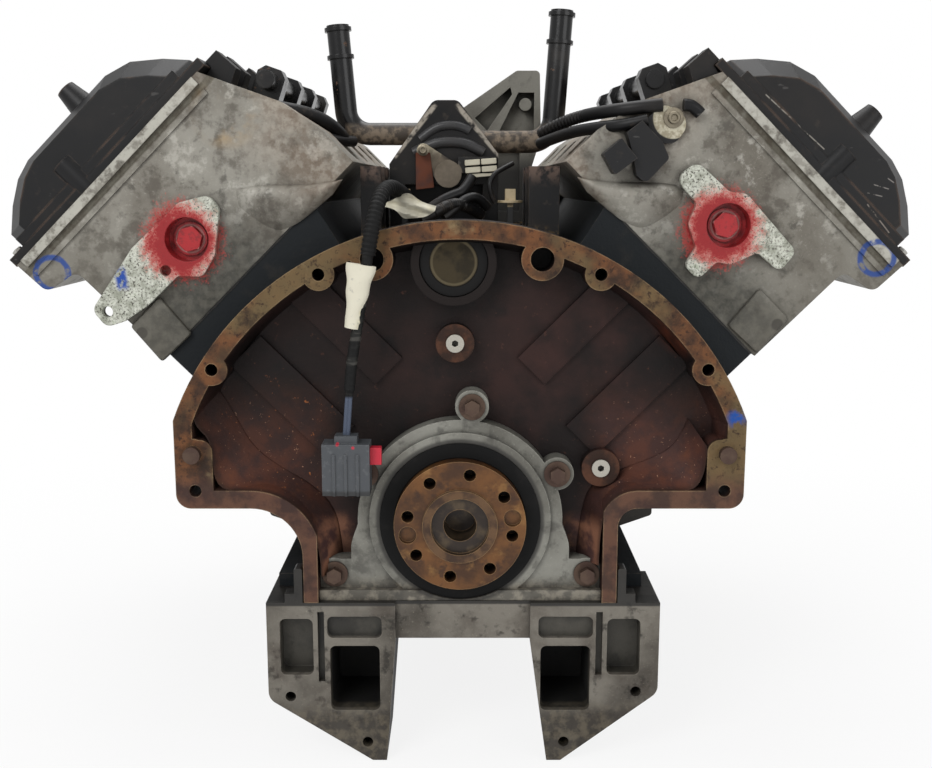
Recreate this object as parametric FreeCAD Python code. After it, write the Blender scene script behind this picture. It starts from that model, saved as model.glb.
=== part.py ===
import FreeCAD
import Part
import math
import os

# Engine long block: a 90 degree V8 seen from its gearbox side.
# Millimetres. The crank axis is the Y axis, the gearbox face of the bell is y = 0,
# the front of the engine is towards +Y, and Z points up.

Vector = FreeCAD.Vector

# Cylinders and crank train
bore = 81.0
stroke = 88.0
bore_pitch = 98.0
bank_angle = 90.0
bank_stagger = 18.0
cylinders_per_bank = 4
rod_length = 172.0
compression_height = 53.0
squish_gap = 1.0
piston_clearance = 0.3
piston_skirt_drop = 25.0
piston_wall = 5.0
piston_crown = 14.0
wrist_pin_radius = 13.0
bowl_radius = 22.0
bowl_depth = 9.0
main_radius = 32.0
main_length = 32.0
pin_radius = 27.0
web_thickness = 16.0
web_hub_radius = 44.0
web_pin_margin = 9.0
counterweight_radius = 78.0
counterweight_start_angle = -25.0
running_clearance = 0.05
bell_pad_outline = ((-62.0, 130.0), (-30.0, 130.0), (-30.0, 232.0), (-62.0, 232.0))
fit_gap = 0.3
shell_thickness = 2.5
shell_width = 22.0
crank_phases = (0.0, 90.0, 270.0, 180.0)
first_main_y = 60.0

# Crank ends
flange_radius = 54.7
flange_rear_y = -4.0
flange_front_y = 28.0
pilot_ring_radius = 31.0
pilot_ring_height = 3.0
pilot_recess_radius = 24.0
pilot_recess_depth = 5.5
pilot_bore_radius = 13.5
pilot_bore_depth = 30.0
flange_bolt_circle = 88.0
flange_bolt_count = 8
flange_bolt_radius = 5.0
flange_bolt_first_angle = 34.3
flange_bolt_depth = 22.0
trigger_hole_radius = 7.2
trigger_hole_depth = 5.0
trigger_hole_angles = (9.0, 190.0)
nose_radius = 13.5
nose_front_y = 556.0

# Block
deck_outer = 76.0
deck_inner = 100.0
skirt_half_width = 128.0
rail_z = -68.0
rail_half_width = 158.0
rail_thickness = 12.0
block_front_y = 465.0
block_wall_y = 32.0
block_body_y = 40.0
valley_floor_z = 222.0
valley_floor_half_width = 95.0
bulkhead_width = 24.0
crankcase_half_width = 118.0
crank_sweep_radius = 84.0
liner_bottom = 98.0
cap_half_width = 66.0
cap_height = 46.0
cap_bolt_offset = 50.0
cap_bolt_size = 14.0
cap_bolt_head = 9.0

# Bell at the gearbox face
dome_over_ear = 16.0
ear_half_width = 234.0
ear_bottom_z = 14.0
ear_corner_radius = 12.0
neck_half_width = 131.0
neck_fillets = {1: 16.0, -1: 42.0}
ear_strip_width = 31.0
ear_strip_height = 58.0
ear_strip_corner = 10.0
rim_width = 15.0
rim_draft = 7.0
rim_hole_radius = 5.0
rim_boss_radius = 13.0
rim_large_hole_radius = 9.5
rim_large_boss_radius = 17.0
rim_hole_turns = ((61.4, 14.2), (32.9, 10.6))
ear_hole_inset = 16.0
ear_hole_rise = 15.0
rim_large_hole_places = ((-70.0, 219.0), (66.0, 219.0))
dowel_inset = 15.0
dowel_rise = 46.0
dowel_radius = 7.0
dowel_root_radius = 6.8
dowel_root_length = 20.0
dowel_rear_y = -6.0
core_plug_place = (-5.0, 215.5)
core_boss_radius = 35.0
core_boss_rear_y = 14.0
core_ring_radius = 28.0
core_ring_depth = 8.0
core_plug_radius = 20.0
socket_plug_places = ((-4.0, 149.0), (118.0, 43.5))
socket_plug_radius = 7.5
socket_plug_key = 5.0
socket_boss_radius = 16.0
socket_boss_rear_y = 20.0
bell_pad_rear_y = 28.0

# Rear seal carrier
carrier_rear_y = 14.0
carrier_radius = 86.0
carrier_ring_rear_y = 10.0
carrier_ring_radius = 76.0
carrier_half_width = 92.0
carrier_base_half_width = 118.5
carrier_base_height = 34.0
carrier_base_rear_y = 6.0
carrier_ledge_height = 9.0
carrier_lug_radius = 14.0
carrier_lug_places = ((10.0, 97.0), (81.0, 40.0), (-79.0, 40.0))
carrier_base_bolt_inset = {1: 11.5, -1: 12.5}
carrier_base_bolt_rise = 21.0
carrier_bolt_size = 12.0
carrier_bolt_head = 7.0
carrier_washer_radius = 11.0
carrier_washer_thickness = 2.0
seal_outer_radius = 67.0
seal_clearance = 0.5
seal_rear_y = 8.0
seal_front_y = 26.0

# Sump
sump_joint_z = rail_z
sump_side_half_width = 152.0
sump_flange_half_width = 163.0
sump_flange_thickness = 12.0
sump_wall = 6.0
sump_rear_y = 5.0
sump_web_bottom_z = -101.0
sump_floor_z = -110.0
horn_length = 80.0
horn_boss_radius = 12.0
horn_boss_depth = 22.0
horn_lug_x = (132.0, 139.0, 147.0)
horn_lug_z = (-60.0, -38.0)
horn_lug_depth = 14.0
horn_wall = 9.0
horn_inner_top = {1: 59.0, -1: 54.5}
horn_inner_bottom = {1: 74.0, -1: 63.0}
horn_outer = {1: 168.0, -1: 163.0}
horn_corner_z = {1: -148.0, -1: -154.0}
horn_foot_width = 12.0
foot_z = -210.0
horn_window = ((68.0, 110.0), (-164.0, -106.0))
horn_window_depth = 68.0
horn_panel = ((66.0, 112.0), (-99.0, -80.0))
horn_side_panel = ((124.0, 152.0), (-132.0, -82.0))
horn_panel_depth = 6.0
horn_groove_x = (114.5, 120.0)
horn_hole_radius = 4.5
horn_hole_depth = 25.0
horn_hole_inset = 10.0
pan_rear_y = 276.0
pan_flange_half_width = 138.0
pan_flange_thickness = 5.0
pan_half_width = 116.0
pan_bottom_half_width = 98.0
pan_taper_y = 12.0
pan_flange_lip = 6.0
pan_wall = 3.0
drain_plug_size = 22.0

# Heads
head_rear_y = 38.0
head_front_y = 465.0
gasket_thickness = 1.2
head_deck_outer = 79.0
head_inner = 148.0
head_joint_outer = 110.0
head_joint_inner = 110.0
cam_pocket_floor_rise = 63.8
cam_pocket_inner = 92.0
cam_pocket_outer = 68.0
cam_pocket_mouth = 94.0
cam_pocket_ledge_drop = 6.0
cam_pocket_rear_wall = 12.0
cam_axis_rise = 120.8
cover_joint_rise = 17.4
head_outer_step = ((79.0, 21.0), (109.0, 15.0))
head_step_rounding = 8.0
head_slope_foot = (140.0, 45.0)
head_inner_port_top = 35.8
cam_axis_offset = 36.0
cam_journal_radius = 13.0
cam_shaft_radius = 11.0
cam_base_radius = 15.0
cam_lift = 7.0
cam_lobe_width = 14.0
cam_lobe_spread = 18.0
cam_bearing_width = 12.0
cam_cap_height = 15.0
cam_cap_half_width = 56.0
cam_wall_clearance = 1.5
cam_rear_y = 53.0
valve_offset = 20.0
valve_spread = 18.0
valve_head_radius = 14.0
valve_head_height = 8.0
valve_stem_radius = 3.5
valve_tip_gap = 10.0
valve_retainer_drop = 8.0
retainer_thickness = 4.0
valve_seat_gap = 0.3
retainer_radius = 10.0
outer_port_rise = 34.8
inner_port_rise = 17.8
port_half_width = 20.0
port_half_height = 13.0
port_depth = 24.0
head_recess_radius = 18.0
head_recess_depth = 7.0
head_recess_place = {1: (-18.0, 57.0), -1: (-7.0, 52.0)}
head_plug_radius = 12.0
head_plug_height = 5.0
boss_thickness = 9.0
boss_outlines = {1: ((-76.0, 52.0, 9.0), (-74.0, 74.0, 9.0), (-38.0, 76.0, 6.0), (-26.0, 85.0, 8.0),
                     (37.0, 82.0, 7.0), (39.5, 61.0, 6.0), (15.0, 59.0, 6.0), (7.0, 37.0, 6.0),
                     (-3.0, 30.0, 4.0), (-3.5, 9.0, 6.5), (-19.5, 9.0, 6.5), (-24.0, 26.0, 6.0),
                     (-43.0, 35.0, 8.0),
                     (-49.0, 51.0, 6.0)),
                 -1: ((-46.0, 64.0, 8.0), (-44.0, 50.0, 6.0), (-14.0, 27.0, 9.0), (6.0, 22.0, 7.0),
                      (20.0, 37.0, 6.0), (56.0, 38.0, 14.0), (80.0, 43.0, 12.0), (93.0, 50.0, 8.0),
                      (91.0, 68.0, 8.0), (30.0, 79.0, 14.0), (-24.0, 77.0, 10.0))}
boss_holes = {1: (), -1: ((83.0, 58.0), (24.0, 47.0))}
boss_hole_radius = 4.5
head_rib_reach = (-104.0, 104.0)
head_ribs = ((0.0, 8.0, 3.0), (13.0, 18.0, 2.0))

# Cam covers
cover_wall = 3.5
cover_rear_y = 44.0
cover_rim_thickness = 8.0
cover_rim_outer = 112.0
cover_rim_inner = 118.0
cover_chamfer_y = 22.0
cover_rise = 58.0
cover_outline = ((103.0, 0.0), (103.0, 27.0), (84.0, 42.0), (64.0, 53.5), (46.0, 58.0), (-51.0, 58.0),
                 (-74.0, 51.0), (-95.0, 33.5), (-110.0, 17.0), (-110.0, 0.0))
cover_end_drop = 10.0
cover_ridge_reach = 96.0
cover_ridge_height = 16.0
cover_ridge_depth = 1.5
cover_post_place = {1: 10.0, -1: 23.0}
cover_post_radius = 11.0
cover_post_height = 31.0
cover_post_depth = 6.0
cover_knob_place = {1: 10.0, -1: -16.0}
cover_knob_radius = 13.5
cover_knob_top_radius = 8.5
cover_knob_height = 22.0
cover_knob_root = 6.0
cover_knob_y = 86.0
cover_bolt_size = 8.0
cover_bolt_head = 6.0
cover_bolt_count = 5

# Timing side
timing_case_depth = 56.0
timing_wall = 5.0
chain_rows = {1: 481.0, -1: 498.0}
sprocket_width = 5.0
cam_sprocket_teeth = 36
crank_sprocket_teeth = 18
cam_sprocket_radius = 34.0
tooth_height = 2.4
chain_plate_thickness = 1.6
chain_plate_gap = 0.7
chain_band = 3.2
front_seal_radius = 34.0
front_bolt_places = ((68.0, 120.0), (68.0, 200.0), (68.0, 290.0), (100.0, 395.0), (-100.0, 395.0),
                     (-100.0, 310.0))
damper_hub_radius = 26.0
damper_radius = 84.0
damper_rear_y = 532.0
damper_width = 30.0
damper_groove_count = 4
damper_groove_depth = 3.0
damper_web = 10.0
damper_rim = 16.0
damper_bolt_size = 24.0
pump_height = 168.0
pump_radius = 42.0
pump_shaft_radius = 8.0
pump_body_length = 18.0
pulley_radius = 52.0
pulley_width = 20.0
pulley_gap = 3.0
pulley_wall = 3.0

# Valley and outside fittings
valley_cover_half_width = 86.0
valley_cover_height = 14.0
valley_cover_rear_y = 46.0
valley_cover_front_y = 440.0
valley_cover_plate = 10.0
valley_cover_edge = 8.0
valley_rib_count = 7
valley_rib_pitch = 58.0
valley_rib_inset = 12.0
valley_rib_width = 8.0
side_wall_outer = 84.0
side_wall_inner = 76.0
side_fin_inner = {1: 58.0, -1: 67.0}
side_fin_manifold_inner = 72.0
side_fin_manifold_y = 205.0
side_fin_top_z = 293.0
side_fin_rear_y = 66.0
side_fin_front_y = 400.0
side_fin_count = 8
side_fin_width = 14.0
pipe_radius = 10.0
pipe_bead_radius = 12.0
pipe_bend_radius = 22.0
heater_pipe_top = {1: (91.0, 431.0), -1: (-110.0, 418.0)}
heater_pipe_bend_z = {1: 316.0, -1: 323.0}
heater_pipe_end_x = {1: 0.0, -1: -38.0}
heater_pipe_y = 150.0
housing_rear_gap = 16.0
housing_depth = 62.0
housing_side_x = {1: 34.0, -1: -64.0}
housing_shoulder_rise = {1: 69.0, -1: 60.0}
housing_top_rise = 116.0
housing_top_x = (-24.0, -2.0)
housing_slot_rise = (8.0, 42.0)
housing_slot_inset = 14.0
housing_slot_depth = 24.0
valley_sensor_place = (-11.0, 51.0)
valley_sensor_radius = 12.0
valley_sensor_depth = 14.0
valley_sensor_ear = (-33.0, 72.0)
valley_sensor_ear_radius = 6.0
valley_sensor_plug = (-2.0, 52.0, 34.0, 14.0)
ear_plate_thickness = 5.0
rail_radius = 8.0
rail_place = (88.0, 303.0)
rail_rear_y = 84.0
rail_front_y = 420.0
rail_clamp = (26.0, 22.0)
cam_sensor_body = ((-129.0, 57.0), (-105.0, 57.0), (-92.0, 62.0, 4.0), (-91.0, 89.0, 5.0),
                   (-101.0, 90.0, 3.0), (-116.0, 80.0), (-131.0, 72.0))
cam_sensor_plug = ((-133.0, 98.0, 2.0), (-131.0, 79.0), (-111.0, 81.0), (-114.0, 103.0, 2.0))
cam_sensor_ear = ((-127.0, 57.0), (-126.0, 34.0, 9.0), (-100.0, 25.0, 12.0), (-96.0, 50.0, 10.0),
                  (-105.0, 57.0))
cam_sensor_body_depth = 16.0
cam_sensor_plug_depth = (24.0, 6.0)
cam_sensor_ear_depth = 5.0
injector_width = 24.0
injector_first_step = 44.0
injector_outline = ((-118.5, -0.4), (-118.5, 6.0), (-131.5, 6.0))
injector_foot = (0.66, 0.97)
injector_out = 14.0
accessory_bracket_y = 420.0
accessory_bracket_thickness = 22.0
accessory_web = 5.0
accessory_outline = ((-6.0, 122.0, 6.0), (62.0, 168.0, 6.0), (88.0, 168.0, 5.0), (90.0, 94.0, 6.0),
                     (78.0, 56.0))
accessory_foot_x = (-16.0, 78.0)
accessory_windows = (((15.0, 116.0), (55.0, 150.0), (57.0, 142.0), (29.0, 102.0)),
                     ((64.0, 144.0), (82.0, 144.0), (82.0, 96.0), (40.0, 96.0)),
                     ((4.0, 12.0), (4.0, 84.0), (66.0, 84.0), (66.0, 12.0)))
accessory_boss = (72.0, 131.0, 7.0)
cable_clip_size = (9.0, 10.0, 10.0)
cable_clip_disc_radius = 11.0
cable_clip_disc_thickness = 2.0
cable_clip_places = ((-49.0, 110.0), (44.0, 110.0))
cable_clip_rise = 28.0
mount_bracket_rear_y = 150.0
mount_bracket_front_y = 290.0
mount_bracket_reach = 184.0
mount_slot_width = 26.0
mount_slot_rises = (-22.0, 16.0)
mount_slot_inner = 134.0
mount_slot_steps = (10.0, 57.0, 104.0)

# Harness lead: a taped lead that leaves the valley, crosses the bell rim and hangs
lead_radius = 4.5
lead_points = ((-49.0, 103.0, 269.0), (-51.0, 68.0, 272.0), (-57.0, 33.0, 277.0), (-63.0, 0.0, 270.0),
               (-69.0, -15.0, 241.0), (-74.0, -16.0, 208.0), (-80.0, -14.0, 172.0), (-86.0, -15.0, 138.0),
               (-89.0, -15.0, 106.0), (-91.0, -15.0, 80.0))
connector_size = (38.0, 22.0, 48.0)
connector_wall = 3.0
connector_depth = 20.0
lock_size = (9.0, 8.0, 14.0)

half_bank = math.radians(bank_angle / 2.0)
dome_radius = ear_half_width + dome_over_ear
rim_hole_places = [((dome_radius - inset) * math.cos(math.radians(turn)),
                    (dome_radius - inset) * math.sin(math.radians(turn))) for turn, inset in rim_hole_turns]
rim_hole_places.append((ear_half_width - ear_hole_inset, ear_bottom_z + ear_hole_rise))
dowel_place = (ear_half_width - dowel_inset, ear_bottom_z + dowel_rise)
carrier_base_bolt_places = tuple((side * (carrier_base_half_width - carrier_base_bolt_inset[side]),
                                  rail_z + carrier_base_bolt_rise) for side in (-1, 1))
throw = stroke / 2.0
bore_radius = bore / 2.0
pin_length = bore_pitch - main_length - 2.0 * web_thickness
deck_height = throw + rod_length + compression_height + squish_gap
joint_height = deck_height + gasket_thickness
cam_pocket_floor = joint_height + cam_pocket_floor_rise
cam_axis_height = joint_height + cam_axis_rise
cam_pocket_ledge = cam_axis_height - cam_pocket_ledge_drop
valve_tip_height = cam_axis_height - cam_base_radius - valve_tip_gap
outer_port_height = joint_height + outer_port_rise
inner_port_height = joint_height + inner_port_rise
cover_joint = cam_axis_height + cover_joint_rise
cover_shoulder = cover_joint + cover_rise
valley_deck_z = valley_floor_z + valley_cover_height
dish_depth = block_wall_y
crank_sprocket_radius = cam_sprocket_radius * crank_sprocket_teeth / cam_sprocket_teeth
sides = (1, -1)
side_names = {1: "right", -1: "left"}


def box(x0, x1, y0, y1, z0, z1):
    """Box between two corners."""
    return Part.makeBox(x1 - x0, y1 - y0, z1 - z0, Vector(x0, y0, z0))


def rod_y(x, z, radius, y0, y1):
    """Round bar along Y."""
    return Part.makeCylinder(radius, y1 - y0, Vector(x, y0, z), Vector(0, 1, 0))


def hex_y(x, z, across_flats, y0, y1):
    """Hexagonal bar along Y."""
    corner = across_flats / math.sqrt(3.0)
    points = []
    for k in range(6):
        turn = math.radians(60.0 * k + 30.0)
        points.append((x + corner * math.cos(turn), z + corner * math.sin(turn)))
    return prism(points, y0, y1)


def revolved(profile):
    """Turned solid about Z; the profile is a list of (radius, height)."""
    points = [Vector(radius, 0.0, height) for radius, height in profile]
    return Part.Face(Part.makePolygon(points + [points[0]])).revolve(Vector(0, 0, 0), Vector(0, 0, 1), 360.0)


def outline(corners, y):
    """Closed outline at one y; a corner is (x, z), or (x, z, radius) for a rounded one."""
    count = len(corners)
    ends = []
    for k in range(count):
        here = Vector(corners[k][0], y, corners[k][1])
        radius = corners[k][2] if len(corners[k]) > 2 else 0.0
        if radius <= 0.0:
            ends.append((here, here, None))
            continue
        before = Vector(corners[k - 1][0], y, corners[k - 1][1])
        after = Vector(corners[(k + 1) % count][0], y, corners[(k + 1) % count][1])
        back = (before - here).normalize()
        ahead = (after - here).normalize()
        half = back.getAngle(ahead) / 2.0
        run = radius / math.tan(half)
        middle = (back + ahead).normalize()
        bulge = here + middle * (radius / math.sin(half) - radius)
        ends.append((here + back * run, here + ahead * run, bulge))
    edges = []
    for k in range(count):
        start, stop, bulge = ends[k]
        if bulge is not None:
            edges.append(Part.Arc(start, bulge, stop).toShape())
        following = ends[(k + 1) % count][0]
        if (following - stop).Length > 1e-6:
            edges.append(Part.LineSegment(stop, following).toShape())
    return Part.Wire(edges)


def prism(corners, y0, y1):
    """Straight bar along Y with the given outline."""
    return Part.Face(outline(corners, y0)).extrude(Vector(0, y1 - y0, 0))


def taper(corners_a, y0, corners_b, y1):
    """Straight-sided loft between two outlines with the same number of corners."""
    return Part.makeLoft([outline(corners_a, y0), outline(corners_b, y1)], True, True)


def mirrored(corners):
    """Adds the mirror image in x to a half outline that runs from the bottom to the top."""
    other = [(-corner[0],) + tuple(corner[1:]) for corner in reversed(corners)]
    return list(corners) + other


def bank(shape, side):
    """Turns a shape from bank axes (x outward along the deck, z along the cylinder) into place."""
    placed = shape.copy()
    placed.rotate(Vector(0, 0, 0), Vector(0, 1, 0), bank_angle / 2.0)
    if side < 0:
        placed = placed.mirror(Vector(0, 0, 0), Vector(1, 0, 0))
    return placed


def bank_point(u, v, side):
    """x and z of a point given in bank axes."""
    x = u * math.cos(half_bank) + v * math.sin(half_bank)
    z = v * math.cos(half_bank) - u * math.sin(half_bank)
    return (side * x, z)


def bore_centres(side):
    """y of the cylinder axes of one bank."""
    shift = bank_stagger / 2.0 * (1.0 if side < 0 else -1.0)
    return [first_main_y + bore_pitch * (k + 0.5) + shift for k in range(cylinders_per_bank)]


def main_centres():
    """y of the five main bearings."""
    return [first_main_y + bore_pitch * k for k in range(cylinders_per_bank + 1)]


def dome_z(x, radius):
    """Height of a circle about the crank axis at one x."""
    return math.sqrt(radius * radius - x * x)


def bell_outline(inset, y):
    """Outline of the bell, shrunk all round by inset: dome arc, ears and neck."""
    radius = dome_radius - inset
    ear = ear_half_width - inset
    foot = ear_bottom_z + inset
    neck = neck_half_width - inset
    right_half = [(neck, rail_z), (neck, foot, neck_fillets[1] + inset), (ear, foot, ear_corner_radius),
                  (ear, dome_z(ear, radius))]
    left_half = [(-ear, dome_z(ear, radius)), (-ear, foot, ear_corner_radius),
                 (-neck, foot, neck_fillets[-1] + inset), (-neck, rail_z)]
    top = Vector(0, y, radius)
    right = Vector(ear, y, dome_z(ear, radius))
    left = Vector(-ear, y, dome_z(ear, radius))
    whole = outline(right_half + left_half, y)
    edges = []
    for edge in whole.Edges:
        middle = edge.CenterOfMass
        if abs(middle.x) < 1e-6 and middle.z > 0:
            edges.append(Part.Arc(right, top, left).toShape())
        else:
            edges.append(edge)
    return Part.Wire(Part.__sortEdges__(edges))


def write(name, solids):
    """Writes one node; several solids become one group."""
    shape = solids if not isinstance(solids, list) else Part.makeCompound(solids)
    shape.exportStep("parts/" + name + ".step")


def both(shapes):
    """Fuses a list of shapes into one clean solid."""
    whole = shapes[0].fuse(shapes[1:])
    return whole.removeSplitter()


def block_section():
    """Half section of the crankcase and one bank, from the rail to the valley."""
    theta = half_bank
    wall_foot_z = (skirt_half_width * math.cos(theta) - deck_outer) / math.sin(theta)
    outer = bank_point(deck_outer, deck_height, 1)
    inner = bank_point(-deck_inner, deck_height, 1)
    return [(skirt_half_width, rail_z), (skirt_half_width, wall_foot_z, 20.0), outer, inner,
            (valley_floor_half_width, valley_floor_z, 8.0)]


def make_bell():
    """Dished rear wall with its machined rim, bosses and raised pads."""
    solid = Part.Face(bell_outline(0.0, 0.0)).extrude(Vector(0, block_body_y, 0))
    dish = Part.makeLoft([bell_outline(rim_width, 0.0), bell_outline(rim_width + rim_draft, dish_depth)],
                         True, True)
    neck_opening = carrier_base_half_width + fit_gap
    open_neck = box(-neck_opening, neck_opening, -1.0, dish_depth, rail_z - 1.0, 20.0)
    mask = solid.copy()
    solid = solid.cut([dish, open_neck])
    bosses = []
    for x, z in rim_hole_places:
        for side in sides:
            bosses.append(rod_y(side * x, z, rim_boss_radius, 0.0, dish_depth))
    for x, z in rim_large_hole_places:
        bosses.append(rod_y(x, z, rim_large_boss_radius, 0.0, dish_depth))
    inner_x = ear_half_width - ear_strip_width
    top_z = ear_bottom_z + ear_strip_height
    for side in sides:
        bosses.append(rod_y(side * dowel_place[0], dowel_place[1], rim_boss_radius, 0.0, dish_depth))
        bosses.append(prism([(side * inner_x, ear_bottom_z), (side * ear_half_width, ear_bottom_z),
                             (side * ear_half_width, top_z), (side * inner_x, top_z, ear_strip_corner)],
                            0.0, dish_depth))
        pad = [bank_point(u, v, side) for u, v in bell_pad_outline]
        bosses.append(prism(pad, bell_pad_rear_y, dish_depth))
        pad = [bank_point(u, v, side) for u, v in ((8.0, 118.0), (44.0, 118.0), (44.0, 226.0), (8.0, 226.0))]
        bosses.append(prism(pad, bell_pad_rear_y, dish_depth))
    bosses.append(rod_y(core_plug_place[0], core_plug_place[1], core_boss_radius, core_boss_rear_y,
                        dish_depth))
    for x, z in socket_plug_places:
        bosses.append(rod_y(x, z, socket_boss_radius, socket_boss_rear_y, dish_depth))
    trimmed = [boss.common(mask) for boss in bosses]
    return solid.fuse(trimmed)


def bell_holes():
    """Holes of the rim and pockets of the bell's plugs."""
    holes = []
    depth = block_body_y + 1.0
    for x, z in rim_hole_places:
        for side in sides:
            holes.append(rod_y(side * x, z, rim_hole_radius, -1.0, depth))
    for x, z in rim_large_hole_places:
        holes.append(rod_y(x, z, rim_large_hole_radius, -1.0, block_wall_y))
    for side in sides:
        holes.append(rod_y(side * dowel_place[0], dowel_place[1], dowel_root_radius, -1.0, dowel_root_length))
    x, z = core_plug_place
    holes.append(rod_y(x, z, core_ring_radius, core_boss_rear_y - 1.0, core_boss_rear_y + core_ring_depth))
    for x, z in socket_plug_places:
        holes.append(rod_y(x, z, socket_plug_radius, socket_boss_rear_y - 1.0, socket_boss_rear_y + 8.0))
    return holes


def make_block():
    """Cylinder block with bell, bores, bulkheads and crankcase."""
    body = prism(mirrored(block_section()), block_body_y, block_front_y)
    rail = box(-rail_half_width, rail_half_width, block_body_y, block_front_y, rail_z,
               rail_z + rail_thickness)
    solid = body.fuse([rail, make_bell()])
    tools = bell_holes()
    for side in sides:
        for y in bore_centres(side):
            hole = Part.makeCylinder(bore_radius, deck_height - liner_bottom + 1.0,
                                     Vector(0, y, liner_bottom))
            tools.append(bank(hole, side))
    mains = main_centres()
    half = bulkhead_width / 2.0
    for k in range(cylinders_per_bank):
        rear = mains[k] + half
        front = mains[k + 1] - half
        tools.append(rod_y(0.0, 0.0, crank_sweep_radius, rear, front))
        tools.append(box(-crankcase_half_width, crankcase_half_width, rear, front, rail_z - 1.0, 34.0))
    tools.append(box(-cap_half_width, cap_half_width, mains[0] - half, block_front_y + 1.0, rail_z - 1.0,
                     0.0))
    tools.append(box(-seal_outer_radius, seal_outer_radius, block_wall_y - 1.0, mains[0] - half, rail_z - 1.0,
                     0.0))
    tools.append(rod_y(0.0, 0.0, seal_outer_radius, block_wall_y - 1.0, mains[0] - half))
    tools.append(rod_y(0.0, 0.0, main_radius + running_clearance + shell_thickness, mains[0] - half - 1.0,
                       block_front_y + 1.0))
    return solid.cut(tools)


def make_caps():
    """Main bearing caps under the crank journals."""
    caps = []
    half = bulkhead_width / 2.0
    hole = main_radius + running_clearance + shell_thickness
    for y in main_centres():
        cap = prism(mirrored([(cap_half_width - 14.0, -cap_height), (cap_half_width, -cap_height + 18.0),
                              (cap_half_width, 0.0)]), y - half, y + half)
        caps.append(cap.cut(rod_y(0.0, 0.0, hole, y - half - 1.0, y + half + 1.0)))
    return caps


def make_cap_bolts():
    """Hexagon bolt heads that hold the main caps, seated under them."""
    bolts = []
    corner = cap_bolt_size / math.sqrt(3.0)
    for y in main_centres():
        for side in sides:
            points = []
            for k in range(6):
                turn = math.radians(60.0 * k)
                points.append(Vector(side * cap_bolt_offset + corner * math.cos(turn),
                                     y + corner * math.sin(turn),
                                     -cap_height))
            face = Part.Face(Part.makePolygon(points + [points[0]]))
            bolts.append(face.extrude(Vector(0, 0, -cap_bolt_head)))
    return bolts


def make_shells():
    """Split plain bearings, an upper and a lower half at each main."""
    shells = []
    outer = main_radius + running_clearance + shell_thickness
    inner = main_radius + running_clearance
    for y in main_centres():
        for start in (0.0, 180.0):
            ring = Part.makeCylinder(outer, shell_width, Vector(0, y - shell_width / 2.0, 0), Vector(0, 1, 0),
                                     180.0)
            core = rod_y(0.0, 0.0, inner, y - shell_width, y + shell_width)
            half = ring.cut(core)
            half.rotate(Vector(0, y, 0), Vector(0, 1, 0), start)
            shells.append(half)
    return shells


def web_outline(phase, y):
    """Crank web: round end about the crank pin and a counterweight arc opposite it."""
    pin_end = pin_radius + web_pin_margin
    start = math.radians(counterweight_start_angle)
    weight_x = counterweight_radius * math.cos(start)
    weight_z = counterweight_radius * math.sin(start)
    points = [Vector(-pin_end, y, throw), Vector(0, y, throw + pin_end), Vector(pin_end, y, throw),
              Vector(web_hub_radius, y, 0.0), Vector(weight_x, y, weight_z),
              Vector(0, y, -counterweight_radius),
              Vector(-weight_x, y, weight_z), Vector(-web_hub_radius, y, 0.0)]
    edges = [Part.Arc(points[0], points[1], points[2]).toShape(),
             Part.LineSegment(points[2], points[3]).toShape(),
             Part.LineSegment(points[3], points[4]).toShape(),
             Part.Arc(points[4], points[5], points[6]).toShape(),
             Part.LineSegment(points[6], points[7]).toShape(),
             Part.LineSegment(points[7], points[0]).toShape()]
    wire = Part.Wire(edges)
    wire.rotate(Vector(0, y, 0), Vector(0, 1, 0), phase)
    return wire


def make_crankshaft():
    """Five mains, four pins on crossed planes, eight webs, flange and nose."""
    mains = main_centres()
    half = main_length / 2.0
    last_journal_y = block_front_y
    parts = [rod_y(0.0, 0.0, flange_radius, flange_rear_y, flange_front_y),
             rod_y(0.0, 0.0, pilot_ring_radius, flange_rear_y - pilot_ring_height, flange_rear_y),
             rod_y(0.0, 0.0, main_radius, flange_front_y, mains[0] + half),
             rod_y(0.0, 0.0, main_radius, mains[-1] - half, mains[-1] + half),
             rod_y(0.0, 0.0, nose_radius, mains[-1] + half, nose_front_y)]
    for y in mains[1:-1]:
        parts.append(rod_y(0.0, 0.0, main_radius, y - half, y + half))
    for k in range(cylinders_per_bank):
        phase = crank_phases[k]
        rear = mains[k] + half
        turn = math.radians(phase)
        x = throw * math.sin(turn)
        z = throw * math.cos(turn)
        parts.append(rod_y(x, z, pin_radius, rear + web_thickness, rear + web_thickness + pin_length))
        for y in (rear, rear + web_thickness + pin_length):
            parts.append(Part.Face(web_outline(phase, y)).extrude(Vector(0, web_thickness, 0)))
    for side in sides:
        y = chain_rows[side]
        parts.append(sprocket(0.0, 0.0, crank_sprocket_teeth, crank_sprocket_radius, y))
    solid = both(parts)
    tools = [rod_y(0.0, 0.0, pilot_bore_radius, flange_rear_y - pilot_ring_height - 1.0,
                   flange_rear_y + pilot_bore_depth),
             rod_y(0.0, 0.0, pilot_recess_radius, flange_rear_y - pilot_ring_height - 1.0,
                   flange_rear_y - pilot_ring_height + pilot_recess_depth)]
    for k in range(flange_bolt_count):
        turn = math.radians(flange_bolt_first_angle + 360.0 / flange_bolt_count * k)
        x = flange_bolt_circle / 2.0 * math.cos(turn)
        z = flange_bolt_circle / 2.0 * math.sin(turn)
        tools.append(rod_y(x, z, flange_bolt_radius, flange_rear_y - 1.0, flange_rear_y + flange_bolt_depth))
    for angle in trigger_hole_angles:
        turn = math.radians(angle)
        x = flange_bolt_circle / 2.0 * math.cos(turn)
        z = flange_bolt_circle / 2.0 * math.sin(turn)
        tools.append(rod_y(x, z, trigger_hole_radius, flange_rear_y - 1.0,
                           flange_rear_y + trigger_hole_depth))
    return solid.cut(tools)


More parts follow.
